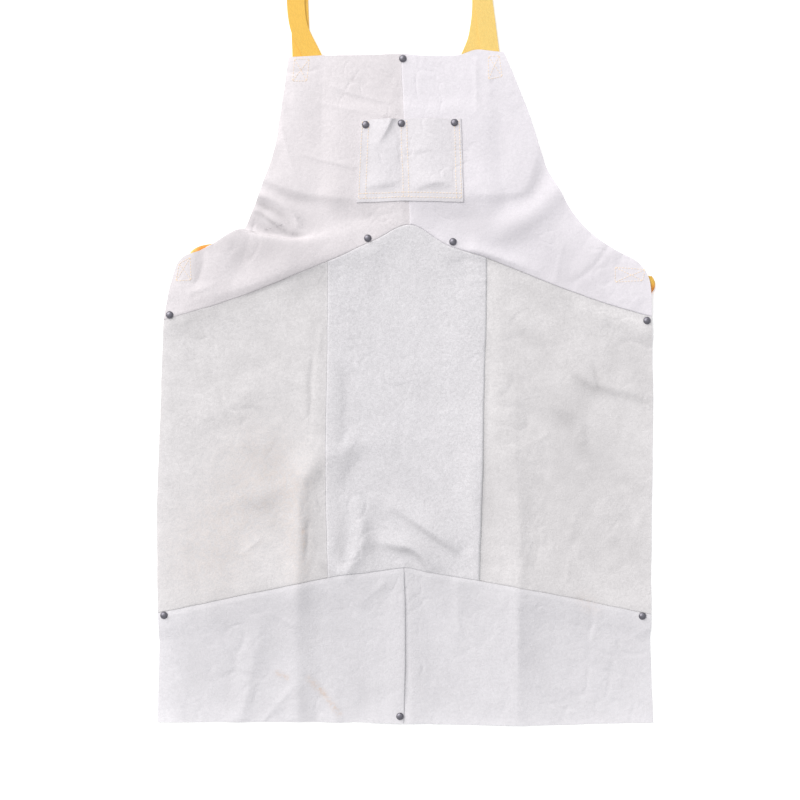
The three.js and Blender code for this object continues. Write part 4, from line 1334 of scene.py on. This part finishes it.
class APRON_OT_rivets(bpy.types.Operator):
    """Set the eleven rivets"""

    bl_idname = "apron.rivets"
    bl_label = "Rivets"

    SIDES = 36
    STEM_RADIUS = 0.0018
    LIP = 0.0007
    PLATE = 0.001
    BEVEL = 0.00025
    DOME_STEPS = 9
    TILT = 0.05
    SEED = 11
    SHARP_ANGLE = math.radians(50)
    MERGE_DISTANCE = 1e-6

    def execute(self, context):
        settings = context.scene.apron
        metal = gunmetal(tuple(settings.rivets.metal))
        rest = Rest(settings.webbing)
        lean = np.random.default_rng(self.SEED)
        for rivet in RIVETS:
            mesh = bmesh.new()
            grip = settings.leather.thickness
            if rivet.sheets == 2:
                grip += POCKET_GAP + settings.leather.pocket_thickness
            self.spin_rivet(mesh, grip, settings.rivets)
            tilt = Euler((*lean.uniform(-self.TILT, self.TILT, 2), 0)).to_matrix()
            bmesh.ops.rotate(mesh, verts=mesh.verts, cent=(0, 0, grip), matrix=tilt)
            bmesh.ops.translate(mesh, verts=mesh.verts, vec=(rivet.x, rivet.y, rest.rivet_lift[rivet.name]))
            piece = new_piece(f"{rivet.name}_metal", mesh, [metal])
            piece.data.set_sharp_from_angle(angle=self.SHARP_ANGLE)
            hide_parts(rivet.name)
        return {"FINISHED"}

    def spin_rivet(self, mesh, grip, settings):
        """Spins the section of a rivet from the middle of its back plate to the top of its cap."""
        radius, height, plate = settings.cap_radius, settings.cap_height, settings.plate_radius
        bevel = self.BEVEL
        dome = radius - 2 * bevel
        section = [
            (0, -self.PLATE),
            (plate - bevel, -self.PLATE),
            (plate, -self.PLATE + bevel),
            (plate, -bevel),
            (plate - bevel, 0),
            (self.STEM_RADIUS, 0),
            (self.STEM_RADIUS, grip),
            (dome, grip - bevel),
            (radius, grip + bevel),
            (radius, grip + self.LIP - bevel),
            (radius - bevel, grip + self.LIP),
        ]
        for step in range(1, self.DOME_STEPS):
            turn = step / self.DOME_STEPS * math.pi / 2
            rise = self.LIP + (height - self.LIP) * math.sin(turn)
            section.append((dome * math.cos(turn), grip + rise))
        section.append((0, grip + height))
        verts = [mesh.verts.new((r, 0, z)) for r, z in section]
        edges = [mesh.edges.new(pair) for pair in zip(verts, verts[1:])]
        bmesh.ops.spin(
            mesh, geom=verts + edges, cent=(0, 0, 0), axis=(0, 0, 1), angle=2 * math.pi,
            steps=self.SIDES, use_merge=True, use_duplicate=False,
        )
        bmesh.ops.remove_doubles(mesh, verts=mesh.verts, dist=self.MERGE_DISTANCE)
        bmesh.ops.recalc_face_normals(mesh, faces=mesh.faces)


class APRON_OT_stitches(bpy.types.Operator):
    """Sew the stitches of the pocket and of the strap ends"""

    bl_idname = "apron.stitches"
    bl_label = "Stitches"

    GAP_SHARE = 0.24
    PROUD = 0.0001
    FLATNESS = 0.8
    SIDES = 8
    RINGS = 6

    def execute(self, context):
        settings = context.scene.apron
        self.thread = settings.thread
        self.leather = settings.leather
        self.rest = Rest(settings.webbing)
        material = sewing_thread(tuple(self.thread.colour))
        self.sew_pocket(material)
        self.sew_straps(material)
        return {"FINISHED"}

    def pocket_top(self, u, v):
        """Places on the upper face of the pocket by share of its width and height."""
        place = pocket_surface(self.rest, self.leather, u, v)
        place[:, 2] += self.leather.pocket_thickness / 2
        return place

    def leather_top(self, x, y):
        """Places on the upper face of the leather."""
        place = self.rest.lie(x, y, np.full(x.shape, FAR_FROM_SEAM), np.zeros(x.shape))
        place[:, 2] += self.leather.thickness
        return place

    def sew_row(self, mesh, top, first, last, length):
        """One row of stitches on an upper face, between two points of it."""
        count = max(1, round(length / self.thread.pitch))
        ends = (np.arange(count)[:, None] + (self.GAP_SHARE / 2, 1 - self.GAP_SHARE / 2)) / count
        starts, stops = (
            top(mix(first[0], last[0], share), mix(first[1], last[1], share)) for share in ends.T
        )
        for start, stop in zip(starts, stops):
            along = Vector(stop - start)
            size = along.length
            along.normalize()
            side = along.cross(Vector((0, 0, 1))).normalized()
            up = side.cross(along)
            middle = (Vector(start) + Vector(stop)) / 2 + up * self.PROUD
            turn = Matrix((side, up, along)).transposed().to_4x4()
            stretch = Matrix.Diagonal((self.thread.width, self.thread.width * self.FLATNESS, size, 1))
            bmesh.ops.create_uvsphere(
                mesh, u_segments=self.SIDES, v_segments=self.RINGS, radius=0.5,
                matrix=Matrix.Translation(middle) @ turn @ stretch,
            )

    def sew_pocket(self, material):
        mesh = bmesh.new()
        low, high = POCKET_ROWS_BOTTOM[0], POCKET_ROWS_TOP
        for low_u, high_u in (*POCKET_ROWS_LEFT, *POCKET_ROWS_MIDDLE, *POCKET_ROWS_RIGHT):
            self.sew_row(mesh, self.pocket_top, (low_u, low), (high_u, high), POCKET_HEIGHT * (high - low))
        first, last = POCKET_ROWS_LEFT[0][0], POCKET_ROWS_RIGHT[1][0]
        for v in POCKET_ROWS_BOTTOM:
            self.sew_row(mesh, self.pocket_top, (first, v), (last, v), POCKET_WIDTH * (last - first))
        self.finish_thread("pocket_stitches", mesh, material)

    def sew_straps(self, material):
        mesh = bmesh.new()
        for corners in STITCH_BOXES:
            sides = list(zip(corners, (*corners[1:], corners[0])))
            crosses = [(corners[0], corners[2]), (corners[1], corners[3])]
            for start, end in sides + crosses:
                self.sew_row(mesh, self.leather_top, start, end, math.dist(start, end))
        self.finish_thread("strap_stitches", mesh, material)

    def finish_thread(self, name, mesh, material):
        piece = new_piece(name, mesh, [material])


class APRON_PT_sidebar(bpy.types.Panel):
    """Lists the steps that build the apron"""

    bl_idname = "APRON_PT_sidebar"
    bl_label = "Leather Work Apron"
    bl_space_type = "VIEW_3D"
    bl_region_type = "UI"
    bl_category = "Apron"

    def draw(self, context):
        for operator in OPERATORS:
            self.layout.operator(operator.bl_idname)


OPERATORS = (
    APRON_OT_stage,
    APRON_OT_straps,
    APRON_OT_panels,
    APRON_OT_pocket,
    APRON_OT_rivets,
    APRON_OT_stitches,
)
SETTINGS = (LeatherSettings, WebbingSettings, RivetSettings, ThreadSettings, StageSettings, ApronSettings)


def register():
    for kind in (*SETTINGS, *OPERATORS, APRON_PT_sidebar):
        bpy.utils.register_class(kind)
    bpy.types.Scene.apron = PointerProperty(type=ApronSettings)


def unregister():
    del bpy.types.Scene.apron
    for kind in reversed((*SETTINGS, *OPERATORS, APRON_PT_sidebar)):
        bpy.utils.unregister_class(kind)


def main():
    register()
    bpy.ops.apron.stage()
    bpy.ops.apron.straps()
    bpy.ops.apron.panels()
    bpy.ops.apron.pocket()
    bpy.ops.apron.rivets()
    bpy.ops.apron.stitches()


if __name__ == "__main__":
    main()
